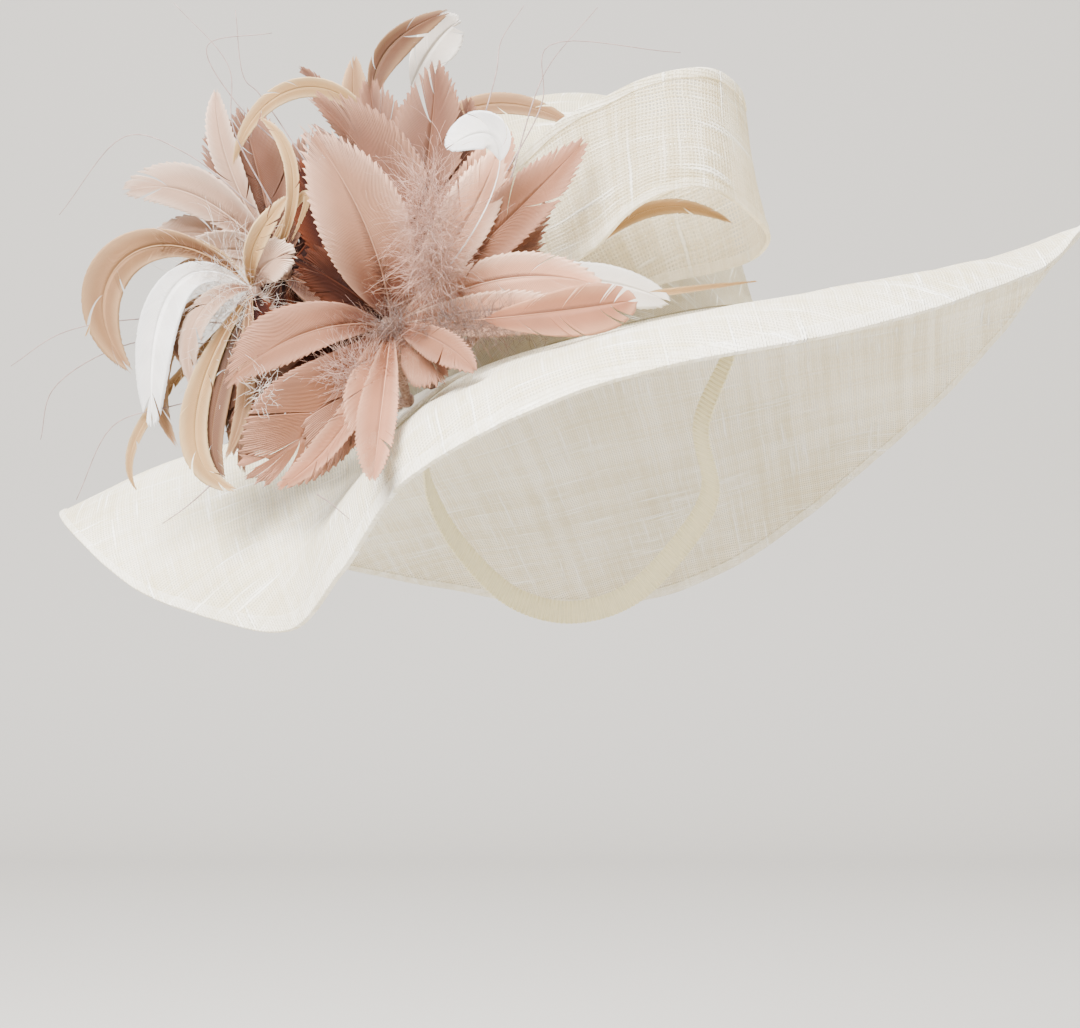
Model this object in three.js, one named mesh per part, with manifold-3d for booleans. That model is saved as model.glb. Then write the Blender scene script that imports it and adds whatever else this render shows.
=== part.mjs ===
// Wide sinamay hat with a swept brim, a folded bow loop and a spray of curled feathers.
// Millimetres, +Z up, -Y towards the wearer's face. The origin is the centre of the head opening.

import * as THREE from 'three';
import * as BufferGeometryUtils from 'three/addons/utils/BufferGeometryUtils.js';
import Module from 'manifold-3d';

const wasm = await Module();
wasm.setup();

const TAU = 2 * Math.PI;
const DEGREE = Math.PI / 180;

// Finishes.
const SINAMAY = { colour: 0xefece0, roughness: 0.75 };
const RIBBON = { colour: 0xf1eedd, roughness: 0.8 };
const ELASTIC = { colour: 0xf0ead0, roughness: 0.85 };
const FELT = { colour: 0xe8e0cc, roughness: 0.95 };
const FEATHER_ROUGHNESS = 0.7;

// Clearance between pieces that are sewn together.
const SEWN_GAP = 0.3;

// How the hat sits on the head: raised at +X, tipped back.
const TILT_SIDE = 16 * DEGREE;
const TILT_BACK = 3.6 * DEGREE;

// Head opening, half across and half along.
const HEAD_HALF_ACROSS = 88;
const HEAD_HALF_ALONG = 99;

// Headband inside the crown.
const BAND_THICKNESS = 1.2;
const BAND_BOTTOM = -2;
const BAND_TOP = 26;

// Crown: a blocked dome of stiffened sinamay.
const CROWN_HEIGHT = 128;
const CROWN_WALL = 1.6;
const CROWN_SQUARENESS = 2.7;
const CROWN_BASE = 1.6;
const CROWN_STAND = 27;
const CROWN_TURNS = 48;
const CROWN_STEPS = 8;

// Brim: one swept sheet with a rolled hem.
const BRIM_THICKNESS = 1.4;
const HEM_THICKNESS = 2.6;
const HEM_WIDTH = 12;
const BRIM_TURNS = 72;
const BRIM_STEPS = 9;
const CURL_POWER = 18;

// The brim's outer edge in the hat's own frame, by turn from +X towards the back.
// reach: distance from the axis. rise: height over the head opening.
// curl: share of the rise that falls in the rolled-over edge. belly: bulge half way out.
const BRIM_EDGE = [
  { turn: 0, reach: 256, rise: -5, curl: 0.15, belly: -12 },
  { turn: 15, reach: 256, rise: -12, curl: 0.1, belly: -8 },
  { turn: 30, reach: 254, rise: -36, curl: 0.1, belly: 0 },
  { turn: 50, reach: 245, rise: -72, curl: 0.1, belly: 4 },
  { turn: 70, reach: 228, rise: -105, curl: 0.1, belly: 5 },
  { turn: 85, reach: 222, rise: -114, curl: 0.1, belly: 5 },
  { turn: 100, reach: 228, rise: -104, curl: 0.1, belly: 5 },
  { turn: 115, reach: 246, rise: -74, curl: 0.1, belly: 4 },
  { turn: 130, reach: 255, rise: -44, curl: 0.1, belly: 4 },
  { turn: 150, reach: 256, rise: -17, curl: 0.1, belly: 5 },
  { turn: 165, reach: 256, rise: -5, curl: 0.1, belly: 7 },
  { turn: 185, reach: 256, rise: -3, curl: 0.1, belly: 9 },
  { turn: 197, reach: 256, rise: -17, curl: 0.1, belly: 9 },
  { turn: 210, reach: 249, rise: -55, curl: 0.1, belly: 9 },
  { turn: 220, reach: 240, rise: -78, curl: 0.15, belly: 9 },
  { turn: 230, reach: 233, rise: -94, curl: 0.2, belly: 8 },
  { turn: 240, reach: 243, rise: -80, curl: 0.25, belly: 7 },
  { turn: 252, reach: 258, rise: -52, curl: 0.35, belly: 4 },
  { turn: 270, reach: 262, rise: -40, curl: 0.45, belly: 0 },
  { turn: 295, reach: 258, rise: -44, curl: 0.45, belly: -3 },
  { turn: 320, reach: 256, rise: -34, curl: 0.4, belly: -8 },
  { turn: 335, reach: 256, rise: -16, curl: 0.25, belly: -11 },
];

// Soft band that hangs from the headband and passes under the back of the head.
const STRAP_WIDTH = 12;
const STRAP_THICKNESS = 1.4;
const STRAP_RIGHT_TURN = 25 * DEGREE;
const STRAP_LEFT_TURN = 155 * DEGREE;
const STRAP_SEWN_TOP = 16;
const STRAP_STEPS = 44;
const STRAP_ROUTE = [
  { x: 64, y: 45, z: -27 },
  { x: 70, y: 70, z: -61 },
  { x: 57, y: 92, z: -87 },
  { x: 28, y: 113, z: -116 },
  { x: -2, y: 118, z: -124 },
  { x: -31, y: 113, z: -116 },
  { x: -60, y: 92, z: -87 },
  { x: -73, y: 70, z: -61 },
  { x: -75, y: 50, z: -44 },
];

// Bow loop: a wide band folded back on itself. Each row is a section across the band.
const BOW_THICKNESS = 1.2;
const BOW_HEM_THICKNESS = 2.4;
const BOW_HEM_WIDTH = 8;
const BOW_STEPS = 32;
const BOW_COLUMNS = 6;
const BOW_SECTIONS = [
  { upper: [-46, -116, 52], lower: [-32, -118, 26] },
  { upper: [-28, -134, 80], lower: [-10, -138, 32] },
  { upper: [-8, -150, 97], lower: [8, -152, 43] },
  { upper: [10, -160, 105], lower: [20, -162, 55] },
  { upper: [26, -166, 112], lower: [34, -168, 63] },
  { upper: [42, -166, 116], lower: [52, -168, 66] },
  { upper: [57, -160, 117], lower: [67, -158, 60] },
  { upper: [69, -146, 110], lower: [82, -138, 48] },
  { upper: [69, -132, 104], lower: [77, -124, 40] },
  { upper: [52, -122, 98], lower: [62, -117, 35] },
  { upper: [32, -116, 92], lower: [42, -113, 31] },
  { upper: [4, -113, 80], lower: [20, -112, 25] },
  { upper: [-40, -96, 48], lower: [-28, -99.5, 20] },
];

// Felt base under the feathers, sewn on the brim beside the crown.
const BASE_TURN = 235 * DEGREE;
const BASE_OUT = 0.25;
const BASE_RADIUS = 27;
const BASE_THICKNESS = 2;
const BASE_CLEARANCE = 0.5;
const BASE_SIDES = 20;
const BASE_RINGS = 2;
const BASE_EYE_SHARE = 0.08;

// Feathers: flat curved vanes on a wired stem.
const VANE_THICKNESS = 1;
const VANE_STEPS = 6;
const VANE_COLUMNS = 2;
const VANE_ROOT_SHARE = 0.16;
const VANE_TIP_SHARE = 0.1;
const VANE_PEAK = 1.35;
const VANE_FULLNESS = 0.7;
const VANE_CUP = 0.1;
const STEM_RADIUS = 2.4;
const STEM_SIDES = 8;
const STEM_FOOT_RADIUS = 3.6;
const BALL_SIDES = 8;
const BALL_RINGS = 6;

// Each spray has a wired core, a stem foot on the base and a row for each feather.
// via and bend: control points of the quill. tip: its end. width: the vane's widest.
const SPRAYS = [
  {
    name: 'feather_flower_right',
    colour: 0xc9a294,
    core: [-80, -160, 8],
    radius: 10,
    foot: [8, 12],
    feathers: [
      { via: [-95, -200, 48], tip: [-116, -190, 94], width: 50 },
      { via: [-66, -160, 66], tip: [-118, -148, 110], width: 40 },
      { via: [-62, -150, 76], tip: [-62, -138, 126], width: 34 },
      { via: [-50, -138, 74], tip: [-48, -126, 112], width: 22 },
      { via: [-34, -168, 46], tip: [4, -168, 88], width: 24 },
      { via: [-34, -155, 34], tip: [-8, -158, 66], width: 20 },
      { via: [-46, -172, 44], tip: [-34, -162, 84], width: 24 },
      { via: [-24, -182, 60], bend: [-34, -186, 106], tip: [-50, -186, 84], width: 15 },
      { via: [-34, -188, 36], tip: [10, -190, 22], width: 26 },
      { via: [-18, -230, 4], tip: [22, -222, 12], width: 21 },
      { via: [-55, -222, 0], tip: [-42, -236, -16], width: 16 },
      { via: [-104, -185, -40], tip: [-144, -175, -56], width: 45 },
      { via: [-118, -185, 20], tip: [-150, -180, -18], width: 30 },
      { via: [-77, -232, -34], tip: [-80, -256, -60], width: 18 },
      { via: [-95, -195, -46], tip: [-127, -190, -62], width: 12 },
    ],
  },
  {
    name: 'feather_flower_left',
    colour: 0xb98b78,
    core: [-130, -125, 35],
    radius: 9,
    foot: [-12, -6],
    feathers: [
      { via: [-166, -138, 80], tip: [-200, -130, 68], width: 22 },
      { via: [-163, -132, 58], tip: [-188, -122, 48], width: 18 },
      { via: [-160, -128, 82], tip: [-160, -118, 116], width: 16 },
      { via: [-142, -122, 84], tip: [-150, -112, 110], width: 28 },
      { via: [-108, -120, 54], tip: [-116, -112, 78], width: 26 },
    ],
  },
  {
    name: 'upright_plumes',
    colour: 0xc8a78d,
    core: [-85, -118, 64],
    radius: 7,
    foot: [4, -12],
    feathers: [
      { via: [-103, -118, 98], tip: [-99, -112, 132], width: 14 },
      { via: [-103, -122, 108], tip: [-124, -118, 126], width: 12 },
      { via: [-88, -120, 106], bend: [-103, -122, 134], tip: [-56, -120, 150], width: 12 },
      { via: [-79, -105, 130], tip: [-55, -104, 150], width: 20 },
      { via: [-66, -112, 116], bend: [-30, -108, 118], tip: [0, -106, 100], width: 10 },
      { via: [-82, -135, 126], bend: [-140, -140, 128], tip: [-150, -140, 78], width: 9 },
    ],
  },
  {
    name: 'hackle_plume',
    colour: 0xd9bf9c,
    core: [-42, -138, 8],
    radius: 4,
    foot: [20, 8],
    feathers: [{ via: [0, -144, 20], bend: [42, -140, 24], tip: [78, -126, 30], width: 5 }],
  },
  {
    name: 'drooping_plumes',
    colour: 0xd2b394,
    core: [-140, -148, 24],
    radius: 6,
    foot: [-14, 12],
    feathers: [
      { via: [-182, -165, 68], bend: [-224, -165, 24], tip: [-190, -160, -12], width: 18 },
      { via: [-167, -150, 52], bend: [-186, -155, 20], tip: [-168, -155, -10], width: 10 },
      { via: [-160, -160, -2], bend: [-178, -165, -54], tip: [-144, -170, -62], width: 12 },
      { via: [-152, -150, 8], bend: [-171, -150, -22], tip: [-160, -150, -42], width: 10 },
      { via: [-168, -145, -10], bend: [-204, -150, -40], tip: [-190, -150, -62], width: 5 },
      { via: [-170, -158, 46], bend: [-187, -158, 20], tip: [-182, -158, -36], width: 17 },
      { via: [-112, -178, 54], bend: [-118, -175, 86], tip: [-136, -165, 96], width: 6 },
      { via: [-142, -164, 38], tip: [-120, -170, 36], width: 15 },
      { via: [-137, -160, 8], tip: [-128, -165, 12], width: 15 },
    ],
  },
];

// Point on an ellipse in the direction of a turn about +Z.
function ellipseRadius(turn, halfAcross, halfAlong) {
  return (halfAcross * halfAlong) / Math.hypot(halfAlong * Math.cos(turn), halfAcross * Math.sin(turn));
}

// Smooth value of one column of a table, closed on itself after a full turn.
function around(table, column, turn) {
  const degrees = (((turn / DEGREE) % 360) + 360) % 360;
  const count = table.length;
  let index = count - 1;
  for (let i = 0; i < count - 1; i += 1) {
    if (degrees >= table[i].turn && degrees < table[i + 1].turn) {
      index = i;
    }
  }
  const row = (i) => table[(i + count) % count];
  const at = (i) => row(i).turn + 360 * Math.floor(i / count);
  const slope = (i) => (row(i + 1)[column] - row(i - 1)[column]) / (at(i + 1) - at(i - 1));
  const span = at(index + 1) - at(index);
  const t = (degrees - at(index)) / span;
  const from = row(index)[column];
  const to = row(index + 1)[column];
  return (
    from * (1 + 2 * t) * (1 - t) ** 2 +
    to * t * t * (3 - 2 * t) +
    slope(index) * span * t * (1 - t) ** 2 -
    slope(index + 1) * span * t * t * (1 - t)
  );
}

// A closed solid from a grid of points, thickened to both sides.
function sheetSolid({ rows, columns, point, thickness, closed = false }) {
  const lines = closed ? rows : rows + 1;
  const grid = [];
  for (let i = 0; i < lines; i += 1) {
    const line = [];
    for (let j = 0; j <= columns; j += 1) {
      line.push(point(i / rows, j / columns));
    }
    grid.push(line);
  }
  const rowOf = (i) => (closed ? (i + lines) % lines : Math.min(Math.max(i, 0), lines - 1));
  const columnOf = (j) => Math.min(Math.max(j, 0), columns);
  const positions = [];
  for (const side of [1, -1]) {
    for (let i = 0; i < lines; i += 1) {
      for (let j = 0; j <= columns; j += 1) {
        const along = grid[rowOf(i + 1)][j].clone().sub(grid[rowOf(i - 1)][j]);
        const across = grid[i][columnOf(j + 1)].clone().sub(grid[i][columnOf(j - 1)]);
        const half = thickness(i / rows, j / columns) / 2;
        const offset = along.cross(across).normalize().multiplyScalar(side * half);
        positions.push(...grid[i][j].clone().add(offset).toArray());
      }
    }
  }
  const top = (i, j) => rowOf(i) * (columns + 1) + j;
  const bottom = (i, j) => lines * (columns + 1) + top(i, j);
  const triangles = [];
  const quad = (a, b, c, d) => triangles.push(a, b, c, a, c, d);
  const cells = closed ? lines : lines - 1;
  for (let i = 0; i < cells; i += 1) {
    for (let j = 0; j < columns; j += 1) {
      quad(top(i, j), top(i + 1, j), top(i + 1, j + 1), top(i, j + 1));
      quad(bottom(i, j), bottom(i, j + 1), bottom(i + 1, j + 1), bottom(i + 1, j));
    }
    quad(top(i, 0), bottom(i, 0), bottom(i + 1, 0), top(i + 1, 0));
    quad(top(i, columns), top(i + 1, columns), bottom(i + 1, columns), bottom(i, columns));
  }
  if (!closed) {
    const last = lines - 1;
    for (let j = 0; j < columns; j += 1) {
      quad(top(0, j), top(0, j + 1), bottom(0, j + 1), bottom(0, j));
      quad(top(last, j), bottom(last, j), bottom(last, j + 1), top(last, j + 1));
    }
  }
  const geometry = new THREE.BufferGeometry();
  geometry.setAttribute('position', new THREE.Float32BufferAttribute(positions, 3));
  geometry.setIndex(triangles);
  return geometry;
}

// A three.js geometry as a solid that can be joined to others.
function toSolid(geometry) {
  const bare = geometry.clone();
  bare.deleteAttribute('normal');
  bare.deleteAttribute('uv');
  const merged = BufferGeometryUtils.mergeVertices(bare, 1e-4);
  return new wasm.Manifold(
    new wasm.Mesh({
      numProp: 3,
      vertProperties: new Float32Array(merged.attributes.position.array),
      triVerts: new Uint32Array(merged.index.array),
    }),
  );
}

function toGeometry(solid) {
  const mesh = solid.getMesh();
  const geometry = new THREE.BufferGeometry();
  geometry.setAttribute('position', new THREE.BufferAttribute(mesh.vertProperties, 3));
  geometry.setIndex(new THREE.BufferAttribute(mesh.triVerts, 1));
  return geometry;
}

function joined(geometries) {
  return toGeometry(geometries.map(toSolid).reduce((all, next) => all.add(next)));
}

// The hat's own frame, tilted as it is worn.
const hat = new THREE.Group();
hat.rotation.set(-TILT_BACK, -TILT_SIDE, 0, 'YXZ');
hat.updateMatrixWorld(true);
const worn = (point) => point.clone().applyMatrix4(hat.matrixWorld);

function namedMesh(name, geometry, { colour, roughness }) {
  geometry.computeVertexNormals();
  const material = new THREE.MeshStandardMaterial({ color: colour, roughness, metalness: 0 });
  const mesh = new THREE.Mesh(geometry, material);
  mesh.name = name;
  return mesh;
}

// Crown, as a lathed shell stretched to the oval of the head.
const crownInset = BAND_THICKNESS + SEWN_GAP;
const crownHalfAcross = HEAD_HALF_ACROSS + crownInset + CROWN_WALL;
const crownHalfAlong = HEAD_HALF_ALONG + crownInset + CROWN_WALL;

function crownProfile(share, inset) {
  const lean = (1 - share) * (Math.PI / 2);
  const reach = Math.sin(lean) ** (2 / CROWN_SQUARENESS);
  const rise = Math.cos(lean) ** (2 / CROWN_SQUARENESS);
  const radius = 1 - inset / crownHalfAcross;
  const dome = CROWN_HEIGHT - CROWN_BASE - CROWN_STAND - inset;
  return new THREE.Vector2(reach * radius, CROWN_BASE + CROWN_STAND + rise * dome);
}

function crownMesh() {
  const profile = [];
  for (let i = 0; i <= CROWN_STEPS; i += 1) {
    profile.push(crownProfile(1 - i / CROWN_STEPS, CROWN_WALL));
  }
  for (let i = 0; i <= CROWN_STEPS; i += 1) {
    profile.push(crownProfile(i / CROWN_STEPS, 0));
  }
  profile[0].x = 0;
  profile[profile.length - 1].x = 0;
  const innerFoot = profile[CROWN_STEPS].clone().setY(CROWN_BASE);
  const outerFoot = profile[CROWN_STEPS + 1].clone().setY(CROWN_BASE);
  profile.splice(CROWN_STEPS + 1, 0, innerFoot, outerFoot);
  const lathe = new THREE.LatheGeometry(profile, CROWN_TURNS);
  lathe.rotateX(Math.PI / 2);
  lathe.scale(crownHalfAcross, crownHalfAlong, 1);
  return namedMesh('crown', toGeometry(toSolid(lathe)), SINAMAY);
}

// Brim, from the foot of the crown out to its hem.
const ringHalfAcross = HEAD_HALF_ACROSS + crownInset + SEWN_GAP;
const ringHalfAlong = HEAD_HALF_ALONG + crownInset + SEWN_GAP;

function brimPoint(turn, out) {
  const ring = ellipseRadius(turn, ringHalfAcross, ringHalfAlong);
  const reach = ring + (around(BRIM_EDGE, 'reach', turn) - ring) * out;
  const curl = around(BRIM_EDGE, 'curl', turn);
  const fall = (1 - curl) * out + curl * out ** CURL_POWER;
  const bulge = around(BRIM_EDGE, 'belly', turn) * 4 * out * (1 - out);
  const height = around(BRIM_EDGE, 'rise', turn) * fall + bulge;
  return new THREE.Vector3(reach * Math.cos(turn), reach * Math.sin(turn), height);
}

// Point held off the brim's upper face by a distance.
function overBrim(turn, out, lift) {
  const step = 0.01;
  const along = brimPoint(turn + step, out).sub(brimPoint(turn - step, out));
  const outward = brimPoint(turn, out + step).sub(brimPoint(turn, out - step));
  const normal = outward.cross(along).normalize();
  return brimPoint(turn, out).addScaledVector(normal, BRIM_THICKNESS / 2 + lift);
}

// Steps that draw closer together towards the hem.
const towardsHem = (share) => Math.sin((share * Math.PI) / 2);

function brimMesh() {
  const width = BRIM_EDGE[0].reach - ringHalfAcross;
  const hemFrom = 1 - HEM_WIDTH / width;
  const geometry = sheetSolid({
    rows: BRIM_TURNS,
    columns: BRIM_STEPS,
    closed: true,
    point: (row, column) => brimPoint(row * TAU, towardsHem(column)),
    thickness: (row, column) => (towardsHem(column) >= hemFrom ? HEM_THICKNESS : BRIM_THICKNESS),
  });
  return namedMesh('brim', geometry, SINAMAY);
}

function headbandMesh() {
  const middle = BAND_THICKNESS / 2;
  const geometry = sheetSolid({
    rows: CROWN_TURNS,
    columns: 2,
    closed: true,
    point: (row, column) => {
      const turn = row * TAU;
      const x = (HEAD_HALF_ACROSS + middle) * Math.cos(turn);
      const y = (HEAD_HALF_ALONG + middle) * Math.sin(turn);
      return new THREE.Vector3(x, y, BAND_BOTTOM + (BAND_TOP - BAND_BOTTOM) * column);
    },
    thickness: () => BAND_THICKNESS,
  });
  return namedMesh('headband', geometry, RIBBON);
}

// Nape strap, sewn inside the headband at both sides.
function strapEnd(turn, height) {
  const inset = STRAP_THICKNESS / 2 + 3 * SEWN_GAP;
  const radius = ellipseRadius(turn, HEAD_HALF_ACROSS - inset, HEAD_HALF_ALONG - inset);
  return worn(new THREE.Vector3(radius * Math.cos(turn), radius * Math.sin(turn), height));
}

function strapCurve() {
  return new THREE.CatmullRomCurve3([
    strapEnd(STRAP_RIGHT_TURN, STRAP_SEWN_TOP),
    strapEnd(STRAP_RIGHT_TURN, STRAP_SEWN_TOP / 3),
    strapEnd(STRAP_RIGHT_TURN, -STRAP_SEWN_TOP / 3),
    ...STRAP_ROUTE.map(({ x, y, z }) => new THREE.Vector3(x, y, z)),
    strapEnd(STRAP_LEFT_TURN, -STRAP_SEWN_TOP / 3),
    strapEnd(STRAP_LEFT_TURN, STRAP_SEWN_TOP / 3),
    strapEnd(STRAP_LEFT_TURN, STRAP_SEWN_TOP),
  ]);
}

// The strap's flat side faces the head.
function strapFacing(spot) {
  const inHat = hat.worldToLocal(spot.clone());
  inHat.set(inHat.x / HEAD_HALF_ACROSS ** 2, inHat.y / HEAD_HALF_ALONG ** 2, 0);
  return inHat.transformDirection(hat.matrixWorld);
}

function strapMesh() {
  const curve = strapCurve();
  const geometry = sheetSolid({
    rows: STRAP_STEPS,
    columns: 1,
    point: (row, column) => {
      const centre = curve.getPointAt(row);
      const tangent = curve.getTangentAt(row);
      const facing = strapFacing(centre);
      const across = tangent.cross(facing).normalize();
      return centre.addScaledVector(across, (column - 0.5) * STRAP_WIDTH);
    },
    thickness: () => STRAP_THICKNESS,
  });
  return namedMesh('nape_strap', geometry, ELASTIC);
}

// Bow loop.
function bowMesh() {
  const edge = (side) => new THREE.CatmullRomCurve3(BOW_SECTIONS.map((s) => new THREE.Vector3(...s[side])));
  const upper = edge('upper');
  const lower = edge('lower');
  const geometry = sheetSolid({
    rows: BOW_STEPS,
    columns: BOW_COLUMNS,
    point: (row, column) => {
      const share = 0.5 - 0.5 * Math.cos(column * Math.PI);
      return lower.getPoint(row).lerp(upper.getPoint(row), share);
    },
    thickness: (row, column) => {
      const width = lower.getPoint(row).distanceTo(upper.getPoint(row));
      const share = 0.5 - 0.5 * Math.cos(column * Math.PI);
      const fromEdge = Math.min(share, 1 - share) * width;
      return fromEdge < BOW_HEM_WIDTH / 2 ? BOW_HEM_THICKNESS : BOW_THICKNESS;
    },
  });
  return namedMesh('bow_loop', geometry, SINAMAY);
}

// Base under the feathers, following the brim.
function basePoint(across, along, lift) {
  const centre = brimPoint(BASE_TURN, BASE_OUT);
  const outward = new THREE.Vector3(Math.cos(BASE_TURN), Math.sin(BASE_TURN), 0);
  const sideways = new THREE.Vector3(-outward.y, outward.x, 0);
  const place = centre.addScaledVector(outward, along).addScaledVector(sideways, across);
  const turn = Math.atan2(place.y, place.x);
  const ring = ellipseRadius(turn, ringHalfAcross, ringHalfAlong);
  const out = (Math.hypot(place.x, place.y) - ring) / (around(BRIM_EDGE, 'reach', turn) - ring);
  return overBrim(turn, out, lift);
}

function baseMesh() {
  const geometry = sheetSolid({
    rows: BASE_SIDES,
    columns: BASE_RINGS,
    closed: true,
    point: (row, column) => {
      const radius = BASE_RADIUS * (BASE_EYE_SHARE + (1 - BASE_EYE_SHARE) * column);
      const lift = BASE_CLEARANCE + BASE_THICKNESS / 2;
      return basePoint(radius * Math.cos(row * TAU), radius * Math.sin(row * TAU), lift);
    },
    thickness: () => BASE_THICKNESS,
  });
  return namedMesh('feather_base', geometry, FELT);
}

// One feather's vane around its quill.
function vaneShare(share) {
  const body = Math.sin(Math.PI * share ** VANE_PEAK) ** VANE_FULLNESS;
  const floor = VANE_ROOT_SHARE + (VANE_TIP_SHARE - VANE_ROOT_SHARE) * share;
  return Math.max(body, floor);
}

function quill(core, { via, bend, tip }) {
  const [from, control, to] = [core, via, tip].map((p) => new THREE.Vector3(...p));
  if (bend) {
    return new THREE.CubicBezierCurve3(from, control, new THREE.Vector3(...bend), to);
  }
  return new THREE.QuadraticBezierCurve3(from, control, to);
}

function featherGeometry(core, feather) {
  const curve = quill(core, feather);
  const viewer = new THREE.Vector3(0, -1, 0);
  return sheetSolid({
    rows: VANE_STEPS,
    columns: VANE_COLUMNS,
    point: (row, column) => {
      const tangent = curve.getTangent(row);
      const across = tangent.clone().cross(viewer).normalize();
      const facing = across.clone().cross(tangent).normalize();
      const side = 2 * column - 1;
      const half = (feather.width / 2) * vaneShare(row);
      return curve
        .getPoint(row)
        .addScaledVector(across, side * half)
        .addScaledVector(facing, VANE_CUP * half * side * side);
    },
    thickness: () => VANE_THICKNESS,
  });
}

// A straight wired stem between two points.
function stemGeometry(from, to) {
  const span = to.clone().sub(from);
  const stem = new THREE.CylinderGeometry(STEM_RADIUS, STEM_RADIUS, span.length(), STEM_SIDES);
  stem.applyQuaternion(new THREE.Quaternion().setFromUnitVectors(new THREE.Vector3(0, 1, 0), span.normalize()));
  stem.translate(...from.clone().add(to).multiplyScalar(0.5).toArray());
  return stem;
}

function ballGeometry(centre, radius) {
  const ball = new THREE.SphereGeometry(radius, BALL_SIDES, BALL_RINGS);
  ball.translate(...centre.toArray());
  return ball;
}

function sprayMesh({ name, colour, core, radius, foot, feathers }) {
  const centre = new THREE.Vector3(...core);
  const lift = BASE_CLEARANCE + BASE_THICKNESS + SEWN_GAP + STEM_FOOT_RADIUS;
  const landing = worn(basePoint(...foot, lift));
  const stem = stemGeometry(centre, landing);
  const balls = [ballGeometry(centre, radius), ballGeometry(landing, STEM_FOOT_RADIUS)];
  const vanes = feathers.map((feather) => featherGeometry(core, feather));
  const finish = { colour, roughness: FEATHER_ROUGHNESS };
  return namedMesh(name, joined([...balls, stem, ...vanes]), finish);
}

hat.add(crownMesh(), brimMesh(), headbandMesh(), baseMesh());

const sinamayHat = new THREE.Group();
sinamayHat.name = 'sinamay_hat';
sinamayHat.add(hat, strapMesh(), bowMesh(), ...SPRAYS.map(sprayMesh));

export default sinamayHat;
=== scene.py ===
"""Dresses the sinamay hat: woven straw cloth, ribbon, strap and every feather, round the fixed frame."""

import math

import bpy
import numpy as np
from mathutils import Matrix, Vector


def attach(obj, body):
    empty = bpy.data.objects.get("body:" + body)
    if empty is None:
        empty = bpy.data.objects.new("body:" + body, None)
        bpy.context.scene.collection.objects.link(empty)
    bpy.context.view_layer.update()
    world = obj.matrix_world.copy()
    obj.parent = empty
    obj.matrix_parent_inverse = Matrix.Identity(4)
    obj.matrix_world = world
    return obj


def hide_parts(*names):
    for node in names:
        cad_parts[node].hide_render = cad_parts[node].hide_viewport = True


bl_info = {
    "name": "Sinamay hat",
    "version": (1, 0, 0),
    "blender": (4, 5, 0),
    "location": "View3D > Sidebar > Hat",
    "description": "Builds a wide straw cloth hat with a bow loop and feather flowers",
    "category": "Object",
}

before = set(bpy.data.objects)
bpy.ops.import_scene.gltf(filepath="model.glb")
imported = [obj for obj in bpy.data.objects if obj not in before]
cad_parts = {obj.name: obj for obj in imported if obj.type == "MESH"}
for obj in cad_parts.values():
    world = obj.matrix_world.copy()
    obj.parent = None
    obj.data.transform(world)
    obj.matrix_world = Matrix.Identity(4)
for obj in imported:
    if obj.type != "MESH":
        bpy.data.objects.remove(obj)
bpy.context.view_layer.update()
bpy.ops.object.select_all(action="DESELECT")

MM = 0.001
TAU = 2 * math.pi

# The hat is raised at +X and tipped back, as it is worn.
TILT_SIDE = math.radians(16)
TILT_BACK = math.radians(3.6)
WORN = np.array(Matrix.Rotation(-TILT_SIDE, 3, "Y") @ Matrix.Rotation(-TILT_BACK, 3, "X"))

# Head opening and what is fitted round it, in millimetres.
HEAD_ACROSS = 88.0
HEAD_ALONG = 99.0
BAND_WALL = 1.2
BAND_BOTTOM = -2.0
BAND_TOP = 26.0
SEWN_GAP = 0.3
CROWN_WALL = 1.6
CROWN_HEIGHT = 128.0
CROWN_BASE = 1.6
CROWN_STAND = 27.0
CROWN_SQUARENESS = 2.7
CROWN_FLARE = 1.4
CROWN_DIP = 0.9
CROWN_INSET = BAND_WALL + SEWN_GAP
CROWN_ACROSS = HEAD_ACROSS + CROWN_INSET + CROWN_WALL
CROWN_ALONG = HEAD_ALONG + CROWN_INSET + CROWN_WALL
RING_ACROSS = HEAD_ACROSS + CROWN_INSET + SEWN_GAP
RING_ALONG = HEAD_ALONG + CROWN_INSET + SEWN_GAP

# Outer edge of the brim by turn: distance from the axis, height, share of the height in the
# rolled edge, and bulge half way out.
BRIM_REACH = 256
BRIM_HALF_WALL = 0.7
CURL_POWER = 18
BRIM_COLUMNS = ("turn", "reach", "rise", "curl", "belly")
BRIM_EDGE = (
    (0, 256, -5, 0.15, -12),
    (15, 256, -12, 0.1, -8),
    (30, 254, -36, 0.1, 0),
    (50, 245, -72, 0.1, 4),
    (70, 228, -105, 0.1, 5),
    (85, 222, -114, 0.1, 5),
    (100, 228, -104, 0.1, 5),
    (115, 246, -74, 0.1, 4),
    (130, 255, -44, 0.1, 4),
    (150, 256, -17, 0.1, 5),
    (165, 256, -5, 0.1, 7),
    (185, 256, -3, 0.1, 9),
    (197, 256, -17, 0.1, 9),
    (210, 249, -55, 0.1, 9),
    (220, 240, -78, 0.15, 9),
    (230, 233, -94, 0.2, 8),
    (240, 243, -80, 0.25, 7),
    (252, 258, -52, 0.35, 4),
    (270, 262, -40, 0.45, 0),
    (295, 258, -44, 0.45, -3),
    (320, 256, -34, 0.4, -8),
    (335, 256, -16, 0.25, -11),
)

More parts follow.
